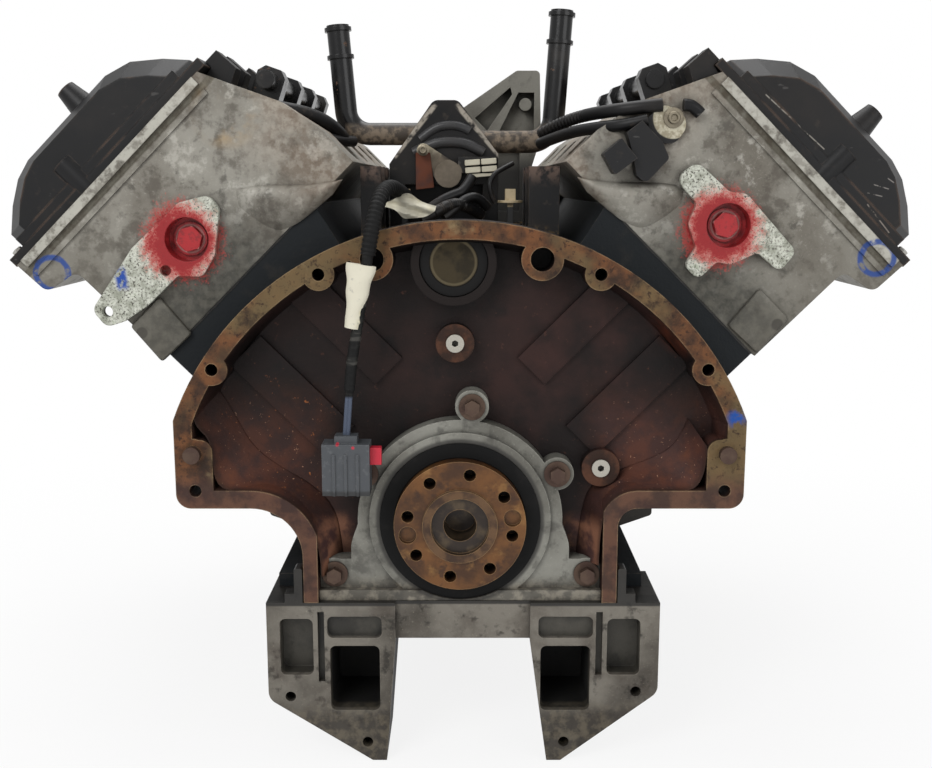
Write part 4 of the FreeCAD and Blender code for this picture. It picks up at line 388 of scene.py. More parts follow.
def block_finish():
    """Black outside, oily brown in the dish, rusty on the rim, told apart by y."""
    f = Finish("block_iron", paint(20, 24, 27), 0.6, 0.0, 0.2)
    cloud, fine, grain = f.noise(7.0, 5.0), f.noise(46.0, 6.0), f.noise(420.0, 3.0)
    pitting, drift = f.noise(160.0, 5.0, 0.7, seed=6.0), f.noise(24.0, 5.0, seed=3.0)
    coarse, spatter = f.noise(34.0, 6.0, 0.65, seed=11.0), f.noise(330.0, 3.0, 0.7, seed=9.0)
    f.layer(fine.ramp(0.54, 0.74) * 0.5, paint(50, 47, 44), 0.75)
    f.layer(f.corner(0.0012) * fine.ramp(0.40, 0.60) * 0.5, paint(100, 90, 80), 0.6)

    # The dish: two browns, redder to the right, dustier in the ears, black in its corners from
    # painted shade with grime.
    dish = f.y < dish_back
    inside = f.two_tone(paint(18, 11, 10), paint(42, 26, 23), cloud, 0.36, 0.64)
    inside = f.blend(inside, paint(10, 8, 8), drift.ramp(0.52, 0.70) * 0.8)
    f.layer(dish, inside, 0.55)
    f.layer(dish * pitting.ramp(0.62, 0.72) * 0.5, paint(92, 60, 48), 0.6)
    red_side = f.x.ramp(-0.020, 0.110) * f.z.ramp(0.230, 0.120)
    f.layer(dish * red_side * cloud.ramp(0.40, 0.62) * 0.5, paint(68, 42, 38), 0.6)
    low = f.z.ramp(0.130, 0.010).both(abs(f.x).ramp(0.095, 0.160))
    ear_dust = f.two_tone(paint(72, 50, 46), paint(102, 62, 48), fine, 0.38, 0.62)
    f.layer(dish * low * 0.75, ear_dust, 0.65)
    f.layer(dish * low * drift.ramp(0.54, 0.68) * 0.6, paint(120, 72, 46), 0.8)
    bloom = f.z.ramp(0.150, 0.060) * f.x.ramp(-0.080, -0.130) * f.y.ramp(0.004, 0.016)
    f.layer(dish * bloom * pitting.ramp(0.64, 0.71), paint(158, 94, 48), 0.85)
    f.layer(dish * low * spatter.ramp(0.66, 0.72), paint(196, 150, 122), 0.8)
    corner_rust = f.around(0.196, 0.176).ramp(0.045, 0.012) * drift.ramp(0.38, 0.56)
    f.layer(dish * corner_rust * 0.8, paint(138, 66, 34), 0.8)
    neck = dish * f.z.ramp(0.006, -0.010) * abs(f.x).ramp(0.080, 0.100)
    f.layer(neck * 0.9, f.two_tone(paint(66, 44, 42), paint(128, 88, 68), fine, 0.40, 0.62), 0.65)
    # Painted shade with grime: the dish's corners and pockets go near black.
    f.layer(dish * f.crevice_shade_and_grime(0.020).ramp(0.25, 0.80) * 0.75, paint(16, 12, 12), 0.5)

    # The rim: rust, olive and pale patches, dark pits, bright edges and a blue paint mark.
    rim = f.y < rim_back
    rust = f.two_tone(paint(64, 44, 32), paint(108, 70, 43), fine, 0.38, 0.62)
    rust = f.blend(rust, paint(104, 88, 60), cloud.ramp(0.45, 0.57) * 0.8)
    rust = f.blend(rust, paint(144, 128, 96), drift.ramp(0.58, 0.72) * 0.6)
    rust = f.blend(rust, paint(48, 32, 24), pitting.ramp(0.53, 0.64) * 0.85)
    rust = f.blend(rust, paint(40, 30, 24), coarse.ramp(0.52, 0.64) * 0.75)
    leg_rust = f.two_tone(paint(62, 44, 40), paint(92, 64, 52), fine)
    rust = f.blend(rust, leg_rust, f.z.ramp(0.050, 0.026) * 0.9)
    f.layer(rim, rust, 0.55)
    f.layer(rim * f.corner(0.0016) * fine.ramp(0.36, 0.56) * 0.6, paint(170, 146, 112), 0.5)
    f.layer(f.y.ramp(0.0080, 0.0020) * (f.y > rim_back) * 0.7, paint(46, 32, 26), 0.7)
    blue = f.disc(0.2256, 0.090, 0.007, 0.004) * fine.ramp(0.40, 0.50)
    f.layer(rim * blue, paint(28, 74, 150), 0.5)

    # The bosses of the plugs: a brown collar with a black inner edge, and two rusty pads.
    core = f.around(*core_plug)
    ledge = f.y.ramp(0.0080, 0.0100) * dish
    collar = core.ramp(0.0352, 0.0346) * core.ramp(0.0265, 0.0275)
    f.layer(ledge * collar, paint(22, 15, 13), 0.6)
    f.layer(ledge * core.ramp(0.0282, 0.0276), paint(12, 12, 12), 0.5)
    upper, lower = (f.disc(*place, 0.0165) for place in socket_plugs)
    f.layer(upper.either(lower) * (f.y < 0.0210),
            f.two_tone(paint(44, 28, 21), paint(80, 50, 35), fine), 0.5)
    f.bump(grain, 0.00022).bump(fine, 0.0006).bump(pitting, 0.0002)
    return f.done(0.0012)


block_iron = block_finish()
dress(block_iron, "cylinder_block")
print("block finish", len(block_iron.node_tree.nodes), "nodes")

# %% [markdown]
# ## Weathered aluminium
# The heads, the seal carrier and the sump are sand-cast aluminium under an oil film.
# They share one recipe: pale grey metal, brownish film in clouds, dark grime, painted
# shade in the corners, bright worn edges and a fine grain. Each casting then gets its own
# marks on top, so that they look alike and yet not the same.


# %% Aluminium finishes
def aluminium(name, pale, dark, grime=0.35, seed=0.0, grain_depth=0.00016):
    """Grey casting with clouds of oil film, painted shade with grime in its corners and bright
    worn edges.
    """
    f = Finish(name, pale, 0.52, 0.2, 0.4)
    cloud, fine = f.noise(11.0, 6.0, seed=seed), f.noise(85.0, 5.0, seed=seed)
    grain = f.noise(620.0, 3.0)

    def shade(colour, factor):
        return tuple(min(1.0, c * factor) for c in colour)

    f.layer(cloud.ramp(0.38, 0.70), dark, 0.62)
    f.layer(fine.ramp(0.54, 0.70) * grime, shade(dark, 0.35), 0.75, 0.1)
    f.layer(grain.ramp(0.58, 0.72) * 0.35, shade(pale, 1.4))
    f.layer(f.corner(0.0014) * fine.ramp(0.62, 0.46) * 0.7, shade(pale, 1.5), 0.4, 0.4)
    # Painted shade with grime in corners and pockets.
    f.layer(f.crevice_shade_and_grime(0.012).ramp(0.20, 0.75) * 0.8, shade(dark, 0.18), 0.7, 0.0)
    f.bump(grain, grain_depth).bump(fine, 0.0003)
    return f


face_back = 0.0390
boss_back = 0.0345
spray_back = 0.050


def head_finish(name, side, plug, ring, chalked=True):
    """Head casting: stained grey, a chalky boss, red spray round its plug, a blue ring."""
    f = aluminium(name, paint(142, 139, 130), paint(104, 99, 90), 0.6, seed=side * 2.0)
    u, v = f.across_bank(side), f.along_bank(side)
    fine, speck = f.noise(130.0, 6.0, seed=5.0), f.noise(520.0, 4.0, 0.7)
    drift, mottle = f.noise(18.0, 5.0, seed=7.0), f.noise(42.0, 6.0, 0.65, seed=12.0)

    # The rear face: mottled, in painted shade below, browner towards the valley, scraped at its
    # joint.
    face = f.y < face_back
    f.layer(face * mottle.ramp(0.50, 0.64) * 0.7, paint(76, 70, 62), 0.6)
    f.layer(face * mottle.ramp(0.45, 0.35) * 0.6, paint(176, 173, 164), 0.45)
    # Painted shade: the lower face darkens towards the deck.
    low = v.ramp(0.342, 0.290) * u.ramp(-0.080, -0.020)
    shade_below = f.two_tone(paint(38, 39, 34), paint(76, 74, 66), fine, 0.35, 0.65)
    f.layer(face * low * 0.85, shade_below, 0.55)
    # Painted shade: a dark disc on each pad stands in for the shade of a hole.
    pad_hole_shade = f.disc(side * 0.2650 - 0.0005, 0.1628 - 0.0035 * (1 - side), 0.0048, 0.0008)
    f.layer((f.y > 0.0340) * pad_hole_shade, paint(18, 17, 16), 0.6)
    outer = u.ramp(0.020, 0.075)
    f.layer(face * outer * 0.45, f.blend(paint(84, 80, 72), paint(112, 108, 98), fine), 0.55)
    brown = u.ramp(-0.070, -0.135) * drift.ramp(0.36, 0.58)
    f.layer(brown * 0.6, f.two_tone(paint(120, 102, 86), paint(166, 156, 142), fine), 0.6, 0.1)
    rail = v.ramp(0.4012, 0.4020) * (f.y < 0.0358)
    f.layer(rail * fine.ramp(0.62, 0.42) * 0.8, paint(178, 176, 166), 0.45, 0.3)
    # Grime and painted shade in the groove beside the joint rail.
    groove_shade_and_grime = v.ramp(0.4020, 0.4010) * v.ramp(0.3950, 0.3962) * face
    f.layer(groove_shade_and_grime * 0.75, f.two_tone(paint(66, 58, 44), paint(92, 88, 76), fine), 0.7, 0.0)
    if side < 0:
        stain = f.disc(-0.190, 0.335, 0.022, 0.010) * drift.ramp(0.40, 0.60)
        f.layer(stain * 0.7, paint(176, 136, 60), 0.5)

    # The boss: chalky corrosion with dark and greenish specks.
    boss = (f.y < boss_back) * (f.y > 0.0) * float(chalked)
    chalk = f.two_tone(paint(150, 153, 139), paint(206, 208, 196), fine, 0.35, 0.65)
    f.layer(boss * speck.ramp(0.66, 0.46), chalk, 0.75, 0.0)
    dirt = speck.ramp(0.56, 0.64) * drift.ramp(0.36, 0.54)
    f.layer(boss * dirt, paint(46, 42, 35), 0.8, 0.0)
    f.layer(boss * fine.ramp(0.60, 0.70) * 0.5, paint(128, 140, 112), 0.7, 0.0)

    # Red paint: its distance from the plug is shaken by noise, so that the edge is sprayed.
    shaken = (speck - 0.5) * 0.034 + (fine - 0.5) * 0.022
    away = f.around(plug[0] - 0.005, plug[1] - 0.002) + shaken
    red = f.blend(paint(196, 74, 66), paint(142, 26, 30), away.ramp(0.032, 0.020))
    red = f.blend(red, paint(110, 20, 22), speck.ramp(0.56, 0.66) * 0.6)
    f.layer(away.ramp(0.038, 0.022) * (f.y < spray_back), red, 0.42, 0.0)
    well = f.disc(*plug, 0.0183, 0.0004) * (f.y > 0.0310) * (f.y < spray_back)
    f.layer(well, f.two_tone(paint(120, 20, 24), paint(156, 34, 38), fine), 0.35, 0.0)

    # Blue marker: a ring on the outer step and, on the left boss, one dab.
    loop = abs(f.around(*ring) - 0.0135) + (fine - 0.5) * 0.003
    drawn = loop.ramp(0.0032, 0.0014) * (f.y < 0.040) * fine.ramp(0.30, 0.46)
    f.layer(drawn * 0.92, paint(22, 62, 132), 0.5, 0.0)
    if side < 0:
        dab = f.streak(-0.2768, 0.190, -0.2806, 0.213, 0.0065) * fine.ramp(0.42, 0.52)
        f.layer(dab * boss, paint(22, 66, 150), 0.5, 0.0)
    return f.done(0.0014)


plug_places = {1: (0.2193, 0.2448), -1: (-0.2236, 0.2335)}
ring_places = {1: (0.3448, 0.2180), -1: (-0.3385, 0.2050)}
bulge_casting = {}
for word, side in (("right", 1), ("left", -1)):
    places = plug_places[side], ring_places[side]
    dress(head_finish("head_casting_" + word, side, *places), "cylinder_head_" + word)
    bulge_casting[side] = head_finish("bulge_casting_" + word, side, *places, chalked=False)


def carrier_finish():
    """Bright seal carrier with a dirty foot and an oil mark under the seal."""
    f = aluminium("carrier_casting", paint(136, 135, 127), paint(96, 94, 87), 0.5, 4.0, 0.0001)
    fine, drift = f.noise(120.0, 5.0, seed=2.0), f.noise(30.0, 5.0, seed=8.0)
    dirt = f.two_tone(paint(70, 64, 56), paint(134, 126, 112), fine, 0.42, 0.62)
    f.layer(f.z.ramp(-0.046, -0.062) * 0.7, dirt, 0.65)
    f.layer(drift.ramp(0.56, 0.68) * 0.6, paint(70, 68, 64), 0.6)
    f.layer(f.around(0.0, 0.0).ramp(0.0720, 0.0690) * 0.8, paint(44, 42, 40), 0.5)
    return f.done(0.0012)


def sump_finish():
    """Sump casting: grey front edges, panels behind y = 5 mm darkened as grime and painted shade,
    open windows painted black as painted shade.
    """
    f = aluminium("sump_casting", paint(120, 115, 106), paint(68, 63, 56), 0.8, seed=7.0)
    fine, drift = f.noise(110.0, 6.0), f.noise(26.0, 5.0, seed=1.0)
    speck = f.noise(420.0, 4.0, 0.7)
    front = f.y < 0.0055
    f.layer(front * drift.ramp(0.50, 0.66) * 0.4, paint(64, 54, 46), 0.6)
    f.layer(front * speck.ramp(0.62, 0.70) * 0.5, paint(166, 158, 138), 0.6)
    # Grime and painted shade: the recessed panels are darker.
    panel = f.y.ramp(0.0050, 0.0058) * f.y.ramp(0.0200, 0.0185)
    f.layer(panel * 0.85, f.two_tone(paint(26, 26, 24), paint(60, 58, 52), drift), 0.5)
    foot_dirt = f.two_tone(paint(44, 39, 34), paint(90, 82, 68), fine, 0.42, 0.62)
    f.layer(f.z.ramp(-0.150, -0.175) * 0.8, foot_dirt, 0.6)
    f.layer(f.z.ramp(-0.0715, -0.0700) * 0.9, paint(20, 19, 18), 0.5, 0.0)
    # Painted shade: the open windows are painted near black.
    window_shade = f.y.ramp(0.0110, 0.0190) * (f.y < 0.100) * (abs(f.x) < 0.118)
    f.layer(window_shade * 0.97, paint(10, 10, 10), 0.7, 0.0)
    return f.done(0.0014)


dress(carrier_finish(), "rear_seal_carrier")
dress(sump_finish(), "sump_body")
grimy_bracket = aluminium("bracket_casting", paint(70, 66, 60), paint(38, 35, 32), 0.8, seed=7.0)
dress(grimy_bracket.done(0.0012), "engine_mount_brackets")
front_casting = aluminium("front_casting", paint(146, 144, 136), paint(108, 105, 98), seed=9.0,
                          grime=0.3)
dress(front_casting.done(0.0010), "front_timing_cover", "water_pump_housing", "cam_bearing_caps")
bracket_grey = aluminium("accessory_casting", paint(124, 122, 114), paint(92, 89, 82), seed=9.0)
bracket_grey.layer(bracket_grey.z.ramp(0.320, 0.290) * 0.9, paint(26, 25, 24), 0.7, 0.0)
dress(bracket_grey.done(0.0010), "accessory_bracket")
print("castings dressed, materials so far", len(bpy.data.materials))

# %% [markdown]
# ## Black mouldings and enamel
# Covers, caps and clips are satin plastic: a fine grain, brown dust in clouds, thin
# scratches and paler edges. The coolant pipes are glossy enamel with worn patches. Flat
# black would look like a hole, so each gets wear from noise and corners, and painted
# shade with grime from its hollows.


# %% Black finishes
def black_plastic(name, tone=22, dust=0.35, roughness=0.42):
    """Moulded black plastic: fine grain, brown dust, thin scratches, paler edges and painted
    shade with grime in its hollows.
    """
    f = Finish(name, paint(tone, tone, tone + 1), roughness, 0.0, 0.22)
    cloud, fine, grain = f.noise(14.0, 5.0), f.noise(90.0, 5.0), f.noise(900.0, 2.0)
    scratch = f.noise(60.0, 3.0, 0.5, (1.0, 0.12, 2.5), 2.0)
    f.layer(cloud.ramp(0.46, 0.72) * dust, paint(54, 48, 43), 0.62)
    f.layer(fine.ramp(0.60, 0.74) * dust, paint(80, 70, 61), 0.62)
    f.layer(scratch.ramp(0.70, 0.74) * 0.35, paint(96, 94, 92), 0.55)
    f.layer(f.corner(0.0012) * fine.ramp(0.40, 0.60) * 0.45, paint(104, 96, 88), 0.5)
    # Painted shade with grime in hollows and corners.
    f.layer(f.crevice_shade_and_grime(0.010).ramp(0.30, 0.80) * 0.7, paint(10, 10, 10), 0.6)
    f.bump(grain, 0.00006)
    return f


def cover_finish():
    """Cam covers: satin black with long scrapes beside the ridge and worn brown corners."""
    f = black_plastic("cover_moulding", 23, 0.22, 0.40)
    fine, drift = f.noise(160.0, 4.0, seed=3.0), f.noise(22.0, 4.0, seed=2.0)
    for line, width, tone in (((0.248, 0.350, 0.299, 0.306), 0.0007, paint(132, 128, 120)),
                              ((0.336, 0.262, 0.356, 0.238), 0.0007, paint(126, 118, 110)),
                              ((0.340, 0.278, 0.354, 0.274), 0.0006, paint(120, 116, 112)),
                              ((0.336, 0.271, 0.349, 0.268), 0.0006, paint(120, 116, 112)),
                              ((0.352, 0.283, 0.358, 0.279), 0.0006, paint(120, 116, 112))):
        f.layer(f.streak(*line, width) * fine.ramp(0.42, 0.52), tone, 0.5)
    f.layer(f.corner(0.0030) * drift.ramp(0.44, 0.60) * 0.55, paint(116, 94, 78), 0.5)
    return f.done(0.0024)


def fin_finish():
    """Valley cover: black fins with rusty brown dust along their top edges."""
    f = black_plastic("fin_moulding", 20, 0.45, 0.5)
    fine = f.noise(120.0, 5.0, seed=4.0)
    f.layer(f.z.ramp(0.274, 0.292) * fine.ramp(0.38, 0.58) * 0.75, paint(112, 94, 84), 0.75)
    f.layer(f.z.ramp(0.245, 0.238) * fine.ramp(0.46, 0.62) * 0.6, paint(116, 96, 66), 0.75)
    return f.done(0.0010)


def housing_finish():
    """Coolant housing: glossy black triangle with pale worn streaks along its slopes, partly
    painted highlight.
    """
    f = black_plastic("housing_moulding", 20, 0.3, 0.3)
    worn = f.noise(140.0, 5.0, seed=4.0).ramp(0.66, 0.46) * 0.9
    # Pale streaks along the two slopes: wear and painted highlight, broken up by noise.
    for line in ((-0.0605, 0.3010, -0.0215, 0.3490), (-0.0045, 0.3490, 0.0370, 0.3010)):
        f.layer(f.streak(*line, 0.0030) * worn, paint(166, 158, 146), 0.4, 0.2)
    return f.done(0.0012)


def sensor_finish(name, head, disc=None):
    """Sensor: black body, pale metal ear round its bolt, and a pale cap on the valley one."""
    f = black_plastic(name, 30, 0.25, 0.45)
    fine = f.noise(260.0, 4.0, seed=4.0)
    pale = f.two_tone(paint(150, 142, 122), paint(186, 180, 160), fine)
    f.layer(f.disc(*head, 0.0165, 0.0006) * (f.y > 0.0325), pale, 0.5, 0.3)
    if disc is not None:
        cap = f.blend(paint(92, 84, 74), paint(124, 114, 100), fine)
        arm = f.blend(paint(84, 76, 66), paint(118, 108, 94), fine)
        f.layer(f.disc(*disc, 0.0128, 0.0006), cap, 0.5, 0.2)
        f.layer(f.streak(*head, *disc, 0.0120), arm, 0.55, 0.2)
    return f.done(0.0008)


def enamel(name, tone, wear):
    """Glossy black paint over steel, chipped where the fine noise is high, dusty in clouds."""
    f = Finish(name, paint(tone, tone, tone + 1), 0.22, 0.0, 0.35)
    fine, cloud = f.noise(110.0, 5.0), f.noise(20.0, 4.0)
    f.layer(cloud.ramp(0.50, 0.75) * 0.5, paint(60, 56, 52), 0.5)
    f.layer(fine.ramp(0.66, 0.70) * wear, paint(112, 84, 66), 0.7, 0.3)
    f.bump(fine, 0.00010)
    return f


def pipe_finish():
    """Coolant pipes: black enamel, with a dusty hose look on the level run between them."""
    f = enamel("pipe_enamel", 16, 0.6)
    fine, coarse = f.noise(160.0, 5.0, seed=2.0), f.noise(40.0, 5.0, seed=5.0)
    reach = f.x.ramp(-0.100, -0.092).either(f.x.ramp(0.076, 0.070)) * (abs(f.x) < 0.104)
    run = f.z.ramp(0.334, 0.326) * reach
    f.layer(run * 0.9, f.two_tone(paint(66, 58, 50), paint(122, 108, 92), fine, 0.40, 0.62), 0.7)
    f.layer(run * coarse.ramp(0.55, 0.65) * 0.7, paint(40, 36, 33), 0.6)
    return f.done(0.0008)


dress(cover_finish(), "cam_cover_left", "cam_cover_right")
dress(black_plastic("valley_moulding", 22, 0.45, 0.5).done(0.0010), "injector_caps")
dress(fin_finish(), "valley_cover")
dress(housing_finish(), "coolant_housing")
dress(sensor_finish("head_sensor", (0.1724, 0.3307)), "cam_position_sensor")
dress(sensor_finish("valley_sensor_black", (-0.0330, 0.3080), (-0.0110, 0.2870)),
      "valley_sensor")
dress(pipe_finish(), "heater_pipe_left", "heater_pipe_right")
dress(enamel("pan_enamel", 24, 0.4).done(0.0015), "lower_oil_pan", "crank_damper",
      "fuel_rail_left", "fuel_rail_right", "water_pump_pulley")
print("mouldings dressed, materials so far", len(bpy.data.materials))

# %% [markdown]
# ## Steel and iron parts
# Bolts, shafts and caps are bare metal: a metallic base with a stain that is rougher
# and less metallic. The crank flange is the eye-catcher, in orange-bronze rust whose
# rings are told apart by their distance from the crank's axis.


# %% Steel finishes
def steel(name, pale, stain, roughness=0.35, stained=0.5):
    """Bare or plated steel with a stain of the given colour in blotches."""
    f = Finish(name, pale, roughness, 0.9)
    f.layer(f.noise(60.0, 5.0).ramp(0.42, 0.62) * stained, stain, 0.65, 0.35)
    f.bump(f.noise(380.0, 4.0), 0.00008)
    return f


def crank_finish():
    """Flange in orange-bronze rust with a darker pilot recess; ground journals beyond it."""
    f = steel("crank_steel", (0.460, 0.450, 0.430), (0.180, 0.150, 0.120), 0.28, 0.4)
    flange = f.y < 0.030
    fine, cloud, drift = f.noise(95.0, 6.0), f.noise(30.0, 4.0), f.noise(55.0, 5.0, seed=5.0)
    tarnish = f.two_tone(paint(66, 41, 22), paint(108, 70, 34), cloud, 0.38, 0.62)
    tarnish = f.blend(tarnish, paint(54, 34, 22), fine.ramp(0.54, 0.68) * 0.8)
    tarnish = f.blend(tarnish, paint(142, 104, 58), drift.ramp(0.58, 0.70) * 0.55)
    f.layer(flange, tarnish, 0.40, 0.35)
    centre = f.around(0.0, 0.0)
    ring = f.two_tone(paint(58, 40, 28), paint(98, 72, 48), drift)
    f.layer(flange * centre.ramp(0.0315, 0.0308), ring, 0.42, 0.4)
    recess = f.two_tone(paint(40, 30, 23), paint(80, 66, 48), drift, 0.40, 0.62)
    f.layer(flange * centre.ramp(0.0243, 0.0236), recess, 0.35, 0.3)
    # Painted shade with grime in the flange's hollows.
    f.layer(flange * f.crevice_shade_and_grime(0.012).ramp(0.30, 0.85) * 0.85, paint(22, 15, 11), 0.6, 0.0)
    f.layer(flange * f.corner(0.0010) * 0.6, paint(176, 140, 94), 0.35, 0.4)
    f.bump(fine, 0.0003)
    return f.done(0.0010)


dress(crank_finish(), "crankshaft")
rusty_bolt = steel("rusty_bolt", paint(92, 76, 66), paint(66, 46, 38), 0.5, 0.8)
# Painted shade with grime in the bolts' hollows.
rusty_bolt.layer(rusty_bolt.crevice_shade_and_grime(0.006).ramp(0.30, 0.80) * 0.8, paint(24, 18, 15), 0.7, 0.0)
dress(rusty_bolt.done(), "seal_carrier_bolts", "bell_dowels", "sump_bolts")
zinc = steel("zinc_steel", (0.420, 0.410, 0.380), (0.200, 0.170, 0.130), 0.38, 0.5)
dress(zinc.done(), "main_cap_bolts", "cam_cover_bolts", "front_cover_bolts", "damper_bolt",
      "oil_drain_plug", "oil_pickup_pipe", "timing_chains")
ground = steel("ground_steel", (0.560, 0.550, 0.530), (0.300, 0.270, 0.230), 0.25, 0.3)
dress(ground.done(), "valves_and_springs", "main_bearing_shells", "camshaft_outer_left",
      "camshaft_outer_right", "camshaft_inner_left", "camshaft_inner_right")
cap_iron = steel("cap_iron", (0.120, 0.100, 0.085), (0.060, 0.040, 0.030), 0.55, 0.7)
dress(cap_iron.done(0.0010), "main_bearing_caps")
piston_alloy = aluminium("piston_alloy", (0.520, 0.510, 0.490), (0.300, 0.280, 0.240), 0.3)
dress(piston_alloy.done(0.0008), *[name for name in nodes if name.startswith("piston_")])
print("steel dressed, materials so far", len(bpy.data.materials))

# %% [markdown]
# ## Plugs, seals and coloured plastics
# The small parts carry the strongest colours of the engine: two plugs under thick red
# paint, a red lock, cream pegs and a grey connector. Each is a short recipe of its own,
# because a shared one would make rubber, paint and plastic look the same.


# %% Plugs, seals, gaskets and plastics
def plug_finish():
    """Core plug in dull olive zinc with a painted highlight on its lip and a dark rim, and the
    two bright socket plugs with painted shade and grime in their hollows.
    """
    f = steel("plug_zinc", paint(66, 59, 46), paint(40, 36, 28), 0.5, 0.8)
    f.shader.inputs["Specular IOR Level"].default_value = 0.2
    core = f.around(*core_plug)
    near_core = core.ramp(0.040, 0.036)
    # Painted highlight: a paler ring on the core plug's lip.
    lip = core.ramp(0.0165, 0.0178) * core.ramp(0.0198, 0.0186)
    f.layer(near_core * lip, paint(92, 83, 64), 0.45, 0.4)
    f.layer(near_core * core.ramp(0.0192, 0.0200), paint(11, 10, 10), 0.6, 0.0)
    upper, lower = (f.around(*place) for place in socket_plugs)
    small = upper.both(lower).ramp(0.020, 0.012)
    f.layer(small, paint(176, 172, 162), 0.35, 0.7)
    # Painted shade with grime in the socket plugs' hollows.
    f.layer(small * f.crevice_shade_and_grime(0.005).ramp(0.30, 0.75), paint(30, 28, 26), 0.5, 0.0)
    return f.done()


def rubber(name, tone):
    """Matt black rubber with a dusty film."""
    f = Finish(name, (tone, tone, tone), 0.6, 0.0, 0.14)
    f.layer(f.noise(70.0, 4.0).ramp(0.50, 0.75) * 0.4, paint(40, 38, 37), 0.7)
    f.bump(f.noise(500.0, 2.0), 0.00005)
    return f


def red_plug_finish():
    """Round plugs under thick red paint, with a pale rubbed ring at the edge."""
    f = Finish("painted_plug", paint(168, 30, 36), 0.32)
    f.layer(f.noise(300.0, 4.0).ramp(0.50, 0.64) * 0.7, paint(120, 18, 24), 0.45)
    for place in plug_places.values():
        away = f.around(*place)
        rubbed = away.ramp(0.0100, 0.0108) * away.ramp(0.0124, 0.0117)
        f.layer(rubbed * 0.75, paint(186, 140, 134), 0.4)
    f.bump(f.noise(250.0, 3.0), 0.0003)
    return f.done(0.0012)


def gasket_finish():
    """Coated sheet of the head gaskets, dark with a steel edge."""
    f = Finish("gasket_sheet", (0.030, 0.030, 0.030), 0.5, 0.3)
    f.layer(f.noise(150.0, 3.0).ramp(0.50, 0.70) * 0.5, (0.120, 0.110, 0.095), 0.6, 0.5)
    return f.done(0.0)


def tinted_plastic(name, colour, roughness=0.45):
    """Moulded coloured plastic with faint handling marks."""
    f = Finish(name, colour, roughness)
    marks = f.noise(90.0, 4.0).ramp(0.50, 0.74) * 0.35
    f.layer(marks, tuple(c * 0.45 for c in colour), 0.6)
    f.bump(f.noise(800.0, 2.0), 0.00004)
    return f.done(0.0007)


def connector_finish():
    """Grey harness connector: scuffed ribs, dark lower lip and two small red pips."""
    f = Finish("connector_grey", paint(66, 69, 73), 0.45)
    f.layer(f.noise(220.0, 4.0).ramp(0.54, 0.70) * 0.5, paint(98, 100, 102), 0.5)
    f.layer(f.corner(0.0008) * 0.5, paint(116, 118, 120), 0.45)
    f.layer(f.z.ramp(0.0370, 0.0345) * 0.85, paint(34, 34, 34), 0.6)
    for x, z in ((-0.0975, 0.0740), (-0.0850, 0.0715)):
        f.layer(f.disc(x, z, 0.0013, 0.0004) * (f.y < -0.020), paint(176, 40, 58), 0.45)
    f.bump(f.noise(800.0, 2.0), 0.00004)
    return f.done(0.0007)


def clip_finish():
    """Cable clips: black post below, cream peg and disc above z 258 mm."""
    f = Finish("clip_plastic", paint(200, 182, 148), 0.5)
    f.layer(f.noise(140.0, 4.0).ramp(0.48, 0.70) * 0.5, paint(150, 126, 88), 0.6)
    f.layer(f.z.ramp(0.2590, 0.2580), paint(30, 30, 30), 0.5)
    return f.done()


dress(plug_finish(), "block_plugs")
dress(rubber("seal_rubber", 0.005).done(0.0008), "rear_crank_seal", "front_crank_seal")
dress(red_plug_finish(), "head_plugs")
dress(gasket_finish(), "head_gasket_left", "head_gasket_right")
dress(connector_finish(), "harness_connector")
dress(tinted_plastic("lock_red", paint(190, 30, 52)), "connector_lock")
dress(clip_finish(), "cable_clips")
print("all CAD nodes dressed, materials so far", len(bpy.data.materials))

# %% [markdown]
# ## The harness lead
# A taped lead leaves its clip in the valley, crosses the bell's rim and hangs in the
# dish with its connector. One smooth spline is the route. The tape, the corrugated
# conduit over its start and the paper tag are rings that follow points read from that
# spline, so that they bend with it. Where the tape ends, its ring narrows in the middle
# and reads as two wires side by side.

# %% Lead route
lead_points = np.array([(-49, 103, 269), (-51, 68, 272), (-57, 33, 277), (-63, 0, 270),
                        (-69, -15, 241), (-74, -16, 208), (-80, -14, 172), (-86, -15, 138),
                        (-89, -15, 106), (-91, -15, 80)]) / 1000.0
lead_radius = 0.0045


def route_line(points, resolution=12):
    """Points read from a smooth spline whose control points are the given ones."""
    curve = bpy.data.curves.new("route", "CURVE")
    curve.dimensions = "3D"
    spline = curve.splines.new("NURBS")
    spline.points.add(len(points) - 1)
    spline.points.foreach_set("co", np.c_[points, np.ones(len(points))].ravel())
    spline.order_u = 3
    spline.use_endpoint_u = True
    spline.resolution_u = resolution
    holder = bpy.data.objects.new("route", curve)
    bpy.context.scene.collection.objects.link(holder)
    mesh = bpy.data.meshes.new_from_object(holder)
    line = np.empty(len(mesh.vertices) * 3)
    mesh.vertices.foreach_get("co", line)
    bpy.data.objects.remove(holder)
    return line.reshape(-1, 3)


def evenly(line, steps):
    """The line again, as points evenly spaced along its length."""
    walked = np.r_[0.0, np.cumsum(np.linalg.norm(np.diff(line, axis=0), axis=1))]
    share = np.linspace(0.0, walked[-1], steps)
    return np.stack([np.interp(share, walked, column) for column in line.T], axis=1)


def nearest(line, height):
    """Number of the point of the hanging part, in front of y = 0, nearest to a height."""
    return int(np.argmin(np.abs(line[:, 2] - height) + (line[:, 1] > 0.0)))


def tape_shape(share, turn):
    """A lapped spiral of tape, 1 - 0.12 lap^3, thinning to two lobes over the last tenth."""
    lap = ((share * 46.0 + turn / (2.0 * np.pi)) % 1.0) ** 3
    bare = np.clip((share - 0.895) / 0.015, 0.0, 1.0)
    pair = 0.20 + 0.46 * np.abs(np.sin(turn)) ** 1.5
    return (1.0 - 0.12 * lap) * (1.0 - bare) + pair * bare


